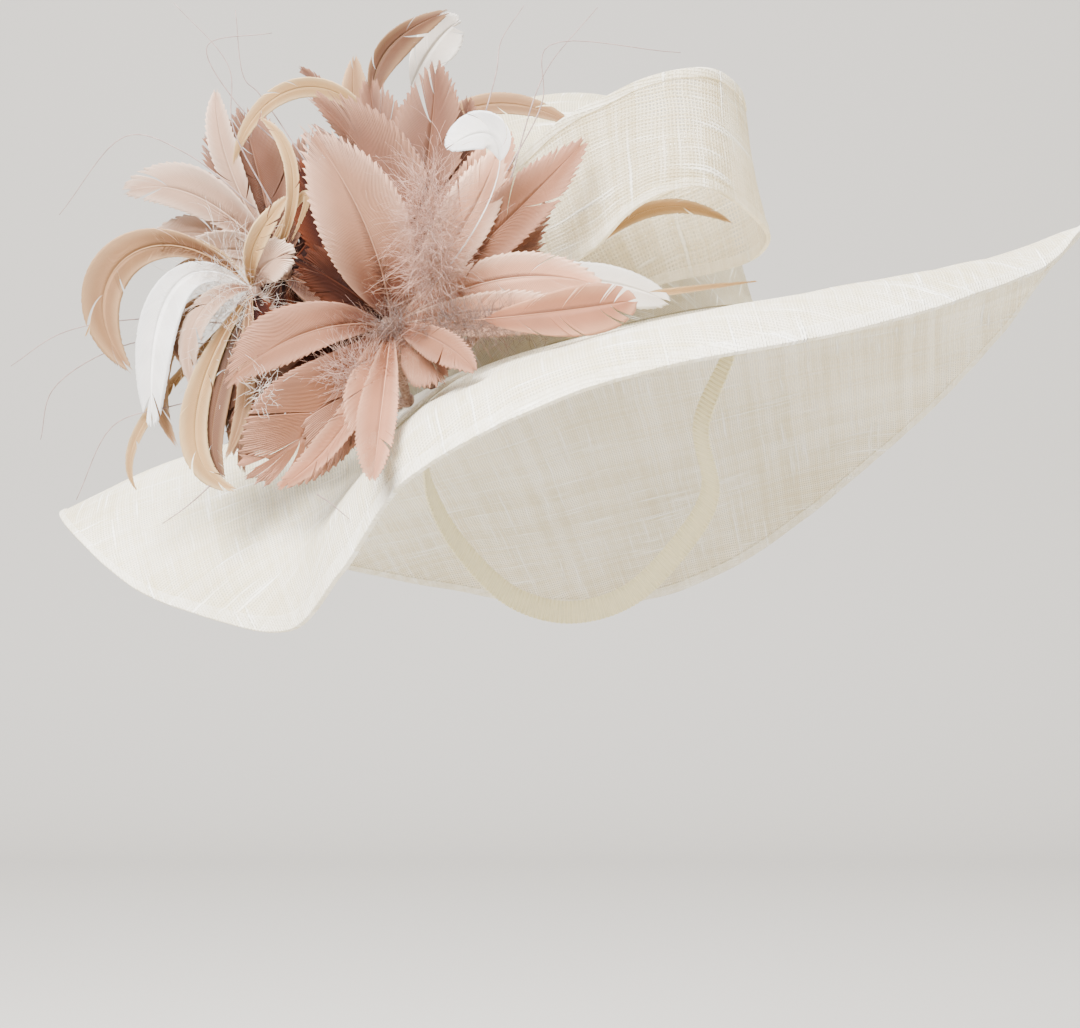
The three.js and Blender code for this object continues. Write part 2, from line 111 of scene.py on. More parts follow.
# Bow loop: the cloth turned in for its two hems, and the upper and lower edge at each section.
BOW_HEM = 4
BOW_SECTIONS = (
    ((-46, -116, 52), (-32, -118, 26)),
    ((-28, -134, 80), (-10, -138, 32)),
    ((-8, -150, 97), (8, -152, 43)),
    ((10, -160, 105), (20, -162, 55)),
    ((26, -166, 112), (34, -168, 63)),
    ((42, -166, 116), (52, -168, 66)),
    ((57, -160, 117), (67, -158, 60)),
    ((69, -146, 110), (82, -138, 48)),
    ((69, -132, 104), (77, -124, 40)),
    ((52, -122, 98), (62, -117, 35)),
    ((32, -116, 92), (42, -113, 31)),
    ((4, -113, 80), (20, -112, 25)),
    ((-40, -96, 48), (-28, -99.5, 20)),
)

# Route of the nape strap between its two sewn ends.
STRAP_TURNS = (25, 155)
STRAP_SEWN_TOP = 16.0
STRAP_WIDTH = 12.0
STRAP_WALL = 1.4
STRAP_PLEAT = 2.3
STRAP_ROUTE = (
    (64, 45, -27),
    (70, 70, -61),
    (57, 92, -87),
    (28, 113, -116),
    (-2, 118, -124),
    (-31, 113, -116),
    (-60, 92, -87),
    (-73, 70, -61),
    (-75, 50, -44),
)

# Felt base that carries the feathers.
BASE_TURN = math.radians(235)
BASE_OUT = 0.25
BASE_RADIUS = 27.0
BASE_WALL = 2.0
BASE_CLEARANCE = 0.5
STEM_RADIUS = 2.2
STEM_FOOT_RADIUS = 3.4

# How a feather looks: colours from quill to edge, teeth cut in its edge, splits, how far towards the
# tip it is widest, how narrow its ends are, and its gloss.
LOOK_COLUMNS = ("root", "body", "edge", "teeth", "splits", "peak", "narrow", "gloss")
LOOK_ROWS = {
    "leaf": ("7E4A36", "AC7C60", "C69A80", 1.0, 0, 1.0, 0.85, 1.0),
    "rose": ("74402C", "9E694C", "B28066", 1.0, 2, 1.35, 0.7, 1.0),
    "mauve": ("94684F", "C29C82", "D6B8A2", 0.6, 2, 1.4, 0.65, 1.0),
    "shaded": ("3E1C0E", "724630", "90644C", 1.0, 4, 1.35, 0.7, 1.0),
    "peach": ("8C5234", "B67A5A", "CC987A", 0.8, 4, 1.35, 0.6, 1.0),
    "blush": ("AA6E50", "D8A080", "E8C0A4", 0.8, 2, 1.35, 0.6, 1.0),
    "fair": ("84492E", "A86E50", "C08C6C", 0.0, 8, 1.7, 0.5, 1.0),
    # Rust and maroon feathers are painted far darker than their own colours: painted shade for the hearts
    # of the flowers, where they sit.
    "rust": ("1E0A05", "36120A", "64301A", 1.0, 2, 1.35, 0.7, 0.3),
    "maroon": ("2A0E06", "38170B", "5A2E1C", 1.0, 4, 1.35, 0.7, 0.3),
    "tan": ("704628", "A07650", "BE9870", 0.0, 3, 1.35, 0.7, 1.0),
    "cream": ("9A6E40", "BC935F", "D4B486", 0.0, 3, 1.35, 0.7, 1.0),
    "white": ("EAE0D6", "FAF6F2", "FEFCFA", 0.0, 2, 1.7, 0.5, 1.0),
    "pale": ("DCCFC0", "EBE1D6", "F2EBE2", 0.3, 3, 1.6, 0.5, 1.0),
    "umber": ("34190E", "6E4831", "94704F", 0.0, 3, 1.35, 0.7, 1.0),
}
LOOKS = {name: dict(zip(LOOK_COLUMNS, row)) for name, row in LOOK_ROWS.items()}

# Length of a tooth along the edge, its depth, and how far a split opens, in millimetres.
TOOTH = 3.3
TOOTH_DEPTH = 1.05
SLIT = 3.0

# Each feather: look, via, bend or None, tip, width. The quill starts at the spray's core. Two more
# values may follow: how much wider one side is, and the bare share of the quill.
SPRAYS = {
    "feather_flower_right": dict(
        core=(-80, -160, 8),
        radius=10,
        foot=(8, 12),
        slot="rose_feather",
        feathers=(
            ("leaf", (-82, -200, 50), None, (-117, -188, 92), 39, -0.05, 0.0),
            ("shaded", (-66, -160, 66), None, (-118, -148, 110), 40),
            ("shaded", (-62, -150, 76), None, (-62, -138, 126), 34),
            ("shaded", (-50, -138, 74), None, (-48, -126, 112), 22),
            ("rose", (-34, -168, 46), None, (4, -168, 88), 24),
            ("rose", (-34, -155, 34), None, (-12, -158, 62), 18),
            ("blush", (-46, -172, 44), None, (-34, -162, 84), 24),
            ("white", (-24, -186, 54), (-22, -190, 104), (-56, -190, 79), 17, 0.1, 0.5),
            ("blush", (-34, -188, 36), None, (10, -190, 22), 26),
            ("fair", (-18, -232, 6), None, (22, -225, 14), 21, 0.1, 0.3),
            ("rose", (-55, -222, 0), None, (-42, -236, -16), 16),
            ("rose", (-104, -185, -40), None, (-144, -175, -56), 45),
            ("rose", (-118, -185, 12), None, (-150, -180, -20), 26),
            ("peach", (-80, -236, -31), None, (-82, -260, -60), 17),
            ("peach", (-95, -195, -46), None, (-127, -190, -62), 12),
        ),
    ),
    "feather_flower_left": dict(
        core=(-130, -125, 35),
        radius=9,
        foot=(-12, -6),
        slot="rust_feather",
        feathers=(
            ("mauve", (-166, -138, 80), None, (-200, -130, 68), 22),
            ("mauve", (-163, -132, 58), None, (-188, -122, 48), 18),
            ("mauve", (-160, -128, 82), None, (-160, -118, 116), 13),
            ("shaded", (-142, -122, 84), None, (-150, -112, 110), 28),
            ("rust", (-108, -120, 54), None, (-116, -112, 78), 26),
        ),
    ),
    "upright_plumes": dict(
        core=(-85, -118, 64),
        radius=7,
        foot=(4, -12),
        slot="tan_feather",
        feathers=(
            ("tan", (-103, -118, 98), None, (-99, -112, 132), 14),
            ("shaded", (-103, -122, 108), None, (-124, -118, 126), 12),
            ("umber", (-88, -120, 106), (-106, -122, 131), (-56, -120, 150), 13, 0.2, 0.38),
            ("pale", (-79, -105, 130), None, (-52, -104, 149), 20, 0.0, 0.45),
            ("tan", (-66, -112, 116), (-30, -108, 118), (0, -106, 100), 10),
            ("cream", (-82, -135, 126), (-140, -140, 128), (-150, -140, 78), 9),
        ),
    ),
    "hackle_plume": dict(
        core=(-42, -138, 8),
        radius=4,
        foot=(20, 8),
        slot="cream_feather",
        feathers=(("cream", (0, -144, 20), (42, -140, 24), (78, -126, 30), 3.4),),
    ),
    "drooping_plumes": dict(
        core=(-140, -148, 24),
        radius=6,
        foot=(-14, 12),
        slot="cream_feather",
        feathers=(
            ("tan", (-182, -165, 68), (-224, -165, 24), (-190, -160, -12), 18),
            ("umber", (-167, -150, 52), (-186, -155, 20), (-168, -155, -10), 10),
            ("cream", (-160, -160, -2), (-178, -165, -54), (-144, -170, -62), 12),
            ("umber", (-152, -150, 8), (-171, -150, -22), (-160, -150, -42), 10),
            ("cream", (-168, -145, -10), (-204, -150, -40), (-190, -150, -62), 5),
            ("white", (-170, -158, 46), (-187, -158, 20), (-182, -158, -36), 17),
            ("cream", (-112, -178, 54), (-118, -175, 86), (-136, -165, 96), 6),
            ("mauve", (-136, -164, 38), None, (-118, -172, 37), 19),
            ("rust", (-137, -160, 8), None, (-128, -165, 12), 15),
        ),
    ),
}

# Smaller feathers that fill the sprays between and behind the ones above.
FILLERS = {
    "feather_flower_right": (
        ("shaded", (-108, -168, -12), None, (-150, -158, -44), 38),
        ("rose", (-92, -182, -20), None, (-112, -176, -56), 30),
        ("peach", (-86, -192, -16), None, (-92, -203, -44), 20),
        ("rose", (-65, -196, -3), None, (-54, -214, -18), 24),
        # The maroon feathers here and six rows down are painted near black: painted shade in the flower's
        # heart.
        ("maroon", (-112, -168, 8), None, (-140, -158, 2), 30),
        ("rust", (-104, -148, 48), None, (-124, -138, 82), 30),
        ("shaded", (-84, -140, 70), None, (-92, -130, 120), 32),
        ("peach", (-44, -150, 58), None, (-30, -144, 94), 24),
        ("rose", (-40, -162, 30), None, (-14, -156, 50), 24),
        ("blush", (-40, -192, 14), None, (0, -196, 12), 20),
        ("maroon", (-98, -158, 26), None, (-124, -150, 38), 26),
        ("pale", (-8, -174, 40), None, (38, -170, 17), 19),
    ),
    "feather_flower_left": (
        ("shaded", (-150, -120, 68), None, (-166, -112, 98), 22),
        ("rust", (-128, -116, 64), None, (-134, -108, 94), 24),
        ("rust", (-112, -120, 40), None, (-96, -114, 56), 26),
        ("shaded", (-124, -118, 72), None, (-116, -110, 100), 22),
        ("shaded", (-112, -125, 22), None, (-100, -120, 34), 22),
        ("rust", (-140, -112, 16), None, (-148, -106, -6), 30),
        ("shaded", (-128, -112, 20), None, (-118, -106, -4), 34),
        ("rust", (-118, -112, 30), None, (-98, -106, 14), 34),
        ("mauve", (-150, -130, 50), None, (-176, -126, 38), 20),
    ),
    "hackle_plume": (("cream", (-8, -138, 8), (12, -134, 87), (68, -132, 54), 7, 0.0, 0.42),),
    "drooping_plumes": (
        ("tan", (-168, -150, 30), (-196, -148, -10), (-172, -150, -44), 10),
        ("umber", (-150, -158, -10), (-164, -164, -40), (-150, -166, -58), 12),
        ("shaded", (-138, -155, -6), (-152, -158, -36), (-138, -160, -50), 14),
        ("cream", (-160, -150, 60), (-196, -150, 50), (-212, -150, 4), 3),
        ("cream", (-126, -168, 60), (-104, -170, 80), (-122, -166, 44), 4),
        ("tan", (-144, -165, 10), (-134, -172, -20), (-150, -172, -50), 8),
        ("mauve", (-150, -158, 30), (-176, -160, 10), (-164, -156, -20), 12),
        ("cream", (-144, -172, 40), None, (-122, -176, 62), 9),
        ("umber", (-146, -152, -4), (-150, -160, -30), (-142, -162, -56), 9),
    ),
}

# Shades of the down, dark and light.
DOWN_TINTS = {
    "down": ("B08069", "DDB9A5"),
    "dark_down": ("6E4936", "A57E69"),
    "pale_down": ("DCC8B8", "F4ECE4"),
}

# Marabou down: centre, half size of its bed, strand length, strands, shade.
DOWN_BEDS = (
    ((-62, -190, 46), (9, 6, 22), 21, 1100, "down"),
    ((-62, -186, 27), (8, 4, 7), 13, 500, "down"),
    ((-44, -196, 6), (22, 4, 5), 13, 800, "dark_down"),
    ((-79, -172, 4), (6, 6, 6), 15, 500, "dark_down"),
    ((-132, -187, -21), (4, 2, 6), 8, 90, "pale_down"),
    ((-150, -150, 16), (14, 5, 20), 20, 500, "pale_down"),
    ((-92, -178, -14), (12, 5, 8), 18, 500, "down"),
)

# Bare hair-fine strands: start, two bends and the end.
WISPS = (
    ((-132, -140, 60), (-150, -140, 96), (-152, -138, 122), (-176, -136, 150)),
    ((-118, -135, 80), (-140, -130, 112), (-146, -130, 118), (-150, -130, 148)),
    ((-120, -135, 80), (-150, -132, 108), (-162, -132, 132), (-134, -130, 138)),
    ((-140, -140, 60), (-170, -140, 84), (-196, -138, 92), (-226, -135, 58)),
    ((-150, -145, 10), (-190, -145, 12), (-224, -142, 6), (-246, -140, -8)),
    ((-150, -145, 0), (-190, -148, 2), (-226, -148, -18), (-232, -146, -40)),
    ((-150, -148, -20), (-176, -150, -26), (-200, -150, -34), (-216, -150, -66)),
    ((-30, -150, 70), (-18, -140, 112), (-12, -138, 124), (8, -136, 148)),
    ((-34, -150, 70), (-16, -142, 106), (-14, -140, 130), (44, -138, 128)),
    ((-44, -140, 90), (-36, -135, 120), (-34, -132, 134), (-24, -130, 150)),
    ((-156, -171, -60), (-162, -174, -66), (-168, -176, -71), (-175, -178, -76)),
    ((-108, -206, -64), (-103, -210, -67), (-99, -214, -70), (-94, -218, -74)),
)


def linear(code):
    """A six-digit colour code as linear red, green, blue."""
    shares = [int(code[i : i + 2], 16) / 255 for i in (0, 2, 4)]
    return [s / 12.92 if s <= 0.04045 else ((s + 0.055) / 1.055) ** 2.4 for s in shares]


def opaque(code):
    """A colour code as linear red, green, blue and full alpha."""
    return (*linear(code), 1.0)


# Values that a user would change


class HatSizes(bpy.types.PropertyGroup):
    """Sizes of the hat's cloth and feathers"""

    cloth: bpy.props.FloatProperty(
        name="Cloth", description="Thickness of the straw cloth", default=0.0011, min=0.0005, unit="LENGTH"
    )
    hem: bpy.props.FloatProperty(
        name="Hem", description="Thickness of the rolled hem", default=0.0025, min=0.001, unit="LENGTH"
    )
    hem_width: bpy.props.FloatProperty(
        name="Hem width", description="Width of the rolled hem", default=0.003, min=0.002, unit="LENGTH"
    )
    pitch: bpy.props.FloatProperty(
        name="Thread pitch",
        description="Distance between two threads",
        default=0.0013,
        min=0.0004,
        unit="LENGTH",
    )
    barb: bpy.props.FloatProperty(
        name="Barb pitch",
        description="Distance between two feather barbs",
        default=0.0008,
        min=0.0004,
        unit="LENGTH",
    )
    wisp: bpy.props.FloatProperty(
        name="Wisp",
        description="Radius of the bare strands",
        default=0.0003,
        min=0.0001,
        unit="LENGTH",
    )


class HatColours(bpy.types.PropertyGroup):
    """Colours of the hat"""

    straw: bpy.props.FloatVectorProperty(
        name="Straw", description="Colour of the straw cloth",
        subtype="COLOR", default=linear("F7EFDB"), min=0, max=1,
    )
    # Also mixed into the crown's straw as painted shade, and, darker still, into the headband's mottle and
    # the painted shade between its ribs.
    straw_shade: bpy.props.FloatVectorProperty(
        name="Straw shade", description="Darker threads",
        subtype="COLOR", default=linear("DACDA9"), min=0, max=1,
    )
    # Also mixed a quarter of the way into the rolled hems: a painted highlight.
    slub: bpy.props.FloatVectorProperty(
        name="Slub", description="Thick bright threads",
        subtype="COLOR", default=linear("FDFCF6"), min=0, max=1,
    )
    strap: bpy.props.FloatVectorProperty(
        name="Strap", description="Colour of the nape strap",
        subtype="COLOR", default=linear("FBF3CC"), min=0, max=1,
    )
    backdrop: bpy.props.FloatVectorProperty(
        name="Backdrop", description="Floor and backdrop",
        subtype="COLOR", default=linear("BFBBB5"), min=0, max=1,
    )


# Shapes in numbers


def tilted(points):
    """Points of the hat's own frame, in millimetres, turned as the hat is worn."""
    return points @ WORN.T


def upright(points):
    """Points of the worn hat, turned back into the hat's own frame."""
    return points @ WORN


def unit(vectors):
    """The same directions at length one."""
    return vectors / np.maximum(np.linalg.norm(vectors, axis=-1, keepdims=True), 1e-12)


def ellipse_radius(turn, across, along):
    """Distance from the middle of an ellipse to its edge at a turn."""
    return across * along / np.hypot(along * np.cos(turn), across * np.sin(turn))


def around(column, turn):
    """Smooth value of one column of the brim's table, closed after a full turn."""
    table = np.array(BRIM_EDGE, float)
    turns = table[:, 0]
    values = table[:, BRIM_COLUMNS.index(column)]
    count = len(turns)
    degrees = np.degrees(turn) % 360
    index = np.searchsorted(turns, degrees, side="right") - 1

    def value(i):
        return values[i % count]

    def at(i):
        return turns[i % count] + 360 * (i // count)

    def slope(i):
        return (value(i + 1) - value(i - 1)) / (at(i + 1) - at(i - 1))

    span = at(index + 1) - at(index)
    t = (degrees - at(index)) / span
    rising = value(index) * (1 + 2 * t) * (1 - t) ** 2 + value(index + 1) * t * t * (3 - 2 * t)
    bending = slope(index) * span * t * (1 - t) ** 2 - slope(index + 1) * span * t * t * (1 - t)
    return rising + bending


def brim_surface(turn, out):
    """A point of the brim's middle, out from the ring at 0 to the outer edge at 1."""
    ring = ellipse_radius(turn, RING_ACROSS, RING_ALONG)
    reach = ring + (around("reach", turn) - ring) * out
    curl = around("curl", turn)
    fall = (1 - curl) * out + curl * out**CURL_POWER
    height = around("rise", turn) * fall + around("belly", turn) * 4 * out * (1 - out)
    return np.stack([reach * np.cos(turn), reach * np.sin(turn), height], axis=-1)


def over_brim(turn, out, lift):
    """A point at a height above the brim's upper face."""
    step = 0.01
    along = brim_surface(turn + step, out) - brim_surface(turn - step, out)
    outward = brim_surface(turn, out + step) - brim_surface(turn, out - step)
    normal = unit(np.cross(outward, along))
    return brim_surface(turn, out) + normal * (BRIM_HALF_WALL + lift)


def over_base(across, along, lift):
    """A point over the felt base, from its own two directions, in the hat's frame."""
    centre = brim_surface(np.array(BASE_TURN), np.array(BASE_OUT))
    outward = np.array([math.cos(BASE_TURN), math.sin(BASE_TURN), 0.0])
    sideways = np.array([-outward[1], outward[0], 0.0])
    place = centre + np.multiply.outer(along, outward) + np.multiply.outer(across, sideways)
    turn = np.arctan2(place[..., 1], place[..., 0])
    ring = ellipse_radius(turn, RING_ACROSS, RING_ALONG)
    out = (np.hypot(place[..., 0], place[..., 1]) - ring) / (around("reach", turn) - ring)
    return over_brim(turn, out, lift)


def through(points, shares):
    """A smooth curve through points, eased by the root of their distances, at shares of 0 to 1."""
    points = np.array(points, float)
    count = len(points)
    padded = np.vstack([2 * points[0] - points[1], points, 2 * points[-1] - points[-2]])
    place = np.clip(shares, 0, 1) * (count - 1)
    index = np.minimum(place.astype(int), count - 2)
    t = (place - index)[:, None]
    before, start, end, after = (padded[index + i] for i in range(4))
    pairs = ((before, start), (start, end), (end, after))
    lead, span, trail = (np.linalg.norm(b - a, axis=1)[:, None] ** 0.5 for a, b in pairs)
    leaving = (start - before) / lead - (end - before) / (lead + span) + (end - start) / span
    arriving = (end - start) / span - (after - start) / (span + trail) + (after - end) / trail
    leaving = leaving * span
    arriving = arriving * span
    return (
        start
        + leaving * t
        + (-3 * start + 3 * end - 2 * leaving - arriving) * t**2
        + (2 * start - 2 * end + leaving + arriving) * t**3
    )


def evenly(points, shares):
    """The curve through points, at shares of its length, and that length."""
    fine = through(points, np.linspace(0, 1, 2000))
    lengths = np.concatenate([[0], np.cumsum(np.linalg.norm(np.diff(fine, axis=0), axis=1))])
    line = [np.interp(shares * lengths[-1], lengths, fine[:, i]) for i in range(3)]
    return np.stack(line, axis=1), lengths[-1]


def ripple(spots, seed, size, height, waves=7):
    """Slight uneven swell of a cloth: a sum of seeded waves about one size long."""
    rng = np.random.default_rng(seed)
    total = np.zeros(len(spots))
    for _ in range(waves):
        direction = rng.uniform(0, TAU)
        length = size * rng.uniform(0.6, 1.8)
        phase = rng.uniform(0, TAU)
        run = spots[:, 0] * math.cos(direction) + spots[:, 1] * math.sin(direction)
        total += np.sin(run * TAU / length + phase)
    return total * height / waves**0.5


# Materials

# Threads of the straw cloth, in shares of their pitch: half width of the thinnest, how much it
# varies, what a slub adds, and where a slub begins and is full in its noise.
THREAD_HALF = 0.21
THREAD_SPREAD = 0.18
SLUB_EXTRA = 0.22
SLUB_FROM = 0.56
SLUB_FULL = 0.76


def feed(tree, node, inputs):
    """Gives inputs their values: another node's output by a link, and anything else as it is."""
    for key, value in inputs.items():
        if isinstance(value, bpy.types.NodeSocket):
            tree.links.new(value, node.inputs[key])
        else:
            node.inputs[key].default_value = value


def new_node(tree, kind, inputs=None, **settings):
    made = tree.nodes.new(kind)
    for name, value in settings.items():
        setattr(made, name, value)
    feed(tree, made, inputs or {})
    return made


def maths(tree, operation, *values):
    """One maths step on sockets or numbers."""
    return new_node(tree, "ShaderNodeMath", dict(enumerate(values)), operation=operation).outputs[0]


def eased(tree, value, low, high):
    """From 0 at the low value to 1 at the high one, softly."""
    inputs = {"Value": value, "From Min": low, "From Max": high}
    return new_node(tree, "ShaderNodeMapRange", inputs, interpolation_type="SMOOTHSTEP").outputs["Result"]


def blended(tree, share, first, second):
    return new_node(tree, "ShaderNodeMix", {0: share, 6: first, 7: second}, data_type="RGBA").outputs[2]


def noise(tree, place, scale, detail):
    inputs = {"Vector": place, "Scale": scale, "Detail": detail}
    return new_node(tree, "ShaderNodeTexNoise", inputs).outputs["Fac"]


def kept_number(tree, name):
    """A number that the piece keeps on its points."""
    return new_node(tree, "ShaderNodeAttribute", attribute_name=name).outputs["Fac"]


def raised(tree, height, strength, distance):
    inputs = {"Height": height, "Strength": strength, "Distance": distance}
    return new_node(tree, "ShaderNodeBump", inputs).outputs[0]


def new_group(name, inputs, outputs):
    """A shader node group with named inputs and outputs, each a name and a socket type."""
    tree = bpy.data.node_groups.new(name, "ShaderNodeTree")
    for direction, sockets in (("INPUT", inputs), ("OUTPUT", outputs)):
        for label, kind in sockets:
            tree.interface.new_socket(name=label, in_out=direction, socket_type=f"NodeSocket{kind}")
    return tree, tree.nodes.new("NodeGroupInput").outputs, tree.nodes.new("NodeGroupOutput").inputs


def place_group(tree, group, inputs):
    return new_node(tree, "ShaderNodeGroup", inputs, node_tree=group).outputs


def thread_set(tree, run, other, seed):
    """One direction of threads: its index, how much it covers, its height, its tone and its slubs."""
    index = maths(tree, "FLOOR", run)
    offset = maths(tree, "ABSOLUTE", maths(tree, "SUBTRACT", maths(tree, "FRACT", run), 0.5))
    seeded = {"W": maths(tree, "ADD", index, seed)}
    chance = new_node(tree, "ShaderNodeTexWhiteNoise", seeded, noise_dimensions="1D").outputs["Value"]
    streak = {
        "X": maths(tree, "MULTIPLY", index, 0.57),
        "Y": maths(tree, "MULTIPLY", other, 0.03),
        "Z": seed,
    }
    spot = new_node(tree, "ShaderNodeCombineXYZ", streak).outputs[0]
    slub = eased(tree, noise(tree, spot, 1.0, 2.0), SLUB_FROM, SLUB_FULL)
    plain = maths(tree, "MULTIPLY_ADD", chance, THREAD_SPREAD, THREAD_HALF)
    width = maths(tree, "ADD", plain, maths(tree, "MULTIPLY", slub, SLUB_EXTRA))
    cover = eased(tree, maths(tree, "SUBTRACT", width, offset), -0.04, 0.05)
    across = maths(tree, "DIVIDE", offset, width)
    arch = maths(tree, "SUBTRACT", 1.0, maths(tree, "MULTIPLY", across, across))
    height = maths(tree, "MULTIPLY", cover, maths(tree, "MULTIPLY", arch, maths(tree, "ADD", 0.7, slub)))
    return index, cover, height, chance, slub


def straw_group():
    """Woven straw cloth: uneven threads both ways, thick slubs, and small holes between them."""
    found = bpy.data.node_groups.get("woven_straw")
    if found:
        return found
    inputs = [("Cloth", "Vector"), ("Pitch", "Float")]
    inputs += [(name, "Color") for name in ("Straw", "Shade", "Slub")]
    outputs = [("Colour", "Color")] + [(name, "Float") for name in ("Cover", "Height", "Thick")]
    tree, given, result = new_group("woven_straw", inputs, outputs)
    cloth, pitch = given["Cloth"], given["Pitch"]
    wander = new_node(tree, "ShaderNodeTexNoise", {"Vector": cloth, "Scale": 45.0, "Detail": 1.0})
    drift = new_node(tree, "ShaderNodeSeparateColor", {"Color": wander.outputs["Color"]}).outputs
    spot = new_node(tree, "ShaderNodeSeparateXYZ", {"Vector": cloth}).outputs
    warp_run = maths(tree, "MULTIPLY_ADD", drift[0], 1.6, maths(tree, "DIVIDE", spot[0], pitch))
    weft_run = maths(tree, "MULTIPLY_ADD", drift[1], 1.6, maths(tree, "DIVIDE", spot[1], pitch))
    warp, warp_cover, warp_height, warp_tone, warp_slub = thread_set(tree, warp_run, weft_run, 3.1)
    weft, weft_cover, weft_height, weft_tone, weft_slub = thread_set(tree, weft_run, warp_run, 17.7)
    # Each crossing lifts the warp or the weft by turns.
    crossing = maths(tree, "ADD", maths(tree, "ADD", warp, weft), 4000.0)
    turns = maths(tree, "MODULO", crossing, 2.0)
    over_warp = maths(tree, "MULTIPLY", warp_height, maths(tree, "MULTIPLY_ADD", turns, 0.5, 0.6))
    over_weft = maths(tree, "MULTIPLY", weft_height, maths(tree, "MULTIPLY_ADD", turns, -0.5, 1.1))
    half_tones = [maths(tree, "MULTIPLY", tone, 0.5) for tone in (warp_tone, weft_tone)]
    tone = maths(tree, "ADD", *half_tones)
    cloud = noise(tree, cloth, 14.0, 3.0)
    depth = maths(tree, "MULTIPLY_ADD", cloud, 0.7, maths(tree, "MULTIPLY", tone, 0.5))
    woven = blended(tree, eased(tree, depth, 0.3, 0.95), given["Straw"], given["Shade"])
    slubs = maths(tree, "MAXIMUM", warp_slub, weft_slub)
    coloured = blended(tree, maths(tree, "MULTIPLY", slubs, 0.5), woven, given["Slub"])
    tree.links.new(coloured, result["Colour"])
    tree.links.new(slubs, result["Thick"])
    tree.links.new(maths(tree, "MAXIMUM", warp_cover, weft_cover), result["Cover"])
    tree.links.new(maths(tree, "MAXIMUM", over_warp, over_weft), result["Height"])
    return tree


def barb_group():
    """Feather vane: colour from quill to edge with the tone of each barb and soft streaks."""
    found = bpy.data.node_groups.get("feather_barbs")
    if found:
        return found
    inputs = [(name, "Color") for name in ("Root", "Body", "Edge")]
    inputs += [(name, "Float") for name in ("Reach", "Rise", "Tone")]
    tree, given, result = new_group("feather_barbs", inputs, (("Colour", "Color"), ("Rough", "Float")))
    body = blended(tree, eased(tree, given["Rise"], 0.1, 0.5), given["Root"], given["Body"])
    edge = blended(tree, eased(tree, given["Reach"], 0.35, 1.0), body, given["Edge"])
    mottle = noise(tree, new_node(tree, "ShaderNodeTexCoord").outputs["Object"], 60.0, 3.0)
    barb_tone = maths(tree, "MULTIPLY", given["Tone"], 0.2)
    shade = maths(tree, "ADD", barb_tone, maths(tree, "MULTIPLY", mottle, 0.3))
    value = maths(tree, "ADD", shade, 0.7)
    toned = new_node(tree, "ShaderNodeHueSaturation", {"Value": value, "Color": edge}).outputs[0]
    tree.links.new(toned, result["Colour"])
    tree.links.new(maths(tree, "MULTIPLY_ADD", given["Tone"], 0.2, 0.5), result["Rough"])
    return tree


def bare_material(name):
    material = bpy.data.materials.new(name)
    material.use_nodes = True
    tree = material.node_tree
    tree.nodes.clear()
    output = tree.nodes.new("ShaderNodeOutputMaterial")
    shader = tree.nodes.new("ShaderNodeBsdfPrincipled")
    return material, tree, shader, output


def let_light_through(tree, shader, output, colour, share):
    """Thin stuff: part of the light that falls on one side comes out of the other."""
    glow = new_node(tree, "ShaderNodeBsdfTranslucent", {"Color": colour})
    both = new_node(tree, "ShaderNodeMixShader", {0: share, 1: shader.outputs[0], 2: glow.outputs[0]})
    tree.links.new(both.outputs[0], output.inputs["Surface"])


def straw_material(name, turn=0.0, openness=1.0, glow=0.4, coarse=1.0, deep=0.0):
    """Straw cloth on a piece's cloth map.

    turn: how the weave lies on the cloth. openness: how clear the holes between threads are. glow:
    how much light comes through. coarse: thread pitch against the hat's. deep: share of the darker
    thread colour mixed into the base, a painted shade for cloth that sits in shade.
    """
    sizes, colours = bpy.context.scene.hat_sizes, bpy.context.scene.hat_colours
    material, tree, shader, output = bare_material(name)
    cloth = new_node(tree, "ShaderNodeUVMap", uv_map="cloth").outputs[0]
    turned = new_node(tree, "ShaderNodeMapping", {"Vector": cloth, "Rotation": (0, 0, turn)}).outputs[0]
    values = {
        "Cloth": turned,
        "Pitch": sizes.pitch * coarse,
        "Straw": (*(a + (b - a) * deep for a, b in zip(colours.straw, colours.straw_shade)), 1),
        "Shade": (*colours.straw_shade, 1),
        "Slub": (*colours.slub, 1),
    }
    woven = place_group(tree, straw_group(), values)
    hem = kept_number(tree, "hem")
    cover = maths(tree, "MAXIMUM", maths(tree, "MAXIMUM", woven["Cover"], 1 - openness), hem)
    # The rolled hem is painted a quarter of the way to the bright slub colour: a painted highlight along
    # the rolled edge.
    colour = blended(tree, maths(tree, "MULTIPLY", hem, 0.25), woven["Colour"], (*colours.slub, 1))
    finish = {
        "Base Color": colour,
        "Alpha": cover,
        "Normal": raised(tree, woven["Height"], 0.8, 0.0007),
        "Roughness": 0.62,
        "Sheen Weight": 0.15,
    }
    feed(tree, shader, finish)
    thin = maths(tree, "MULTIPLY_ADD", woven["Thick"], -0.75 * glow, glow)
    let_light_through(tree, shader, output, colour, maths(tree, "MULTIPLY", cover, thin))
    return material


def feather_material(look):
    material, tree, shader, output = bare_material(f"{look}_vane")
    tints = LOOKS[look]
    values = {name.capitalize(): kept_number(tree, name) for name in ("reach", "rise", "tone")}
    values.update({part.capitalize(): opaque(tints[part]) for part in ("root", "body", "edge")})
    barbs = place_group(tree, barb_group(), values)
    finish = {
        "Base Color": barbs["Colour"],
        "Roughness": barbs["Rough"],
        "Sheen Weight": 0.08 * tints["gloss"],
        "Sheen Roughness": 0.4,
        "Specular IOR Level": 0.35 * tints["gloss"],
    }
    feed(tree, shader, finish)
    let_light_through(tree, shader, output, barbs["Colour"], 0.3)
    return material


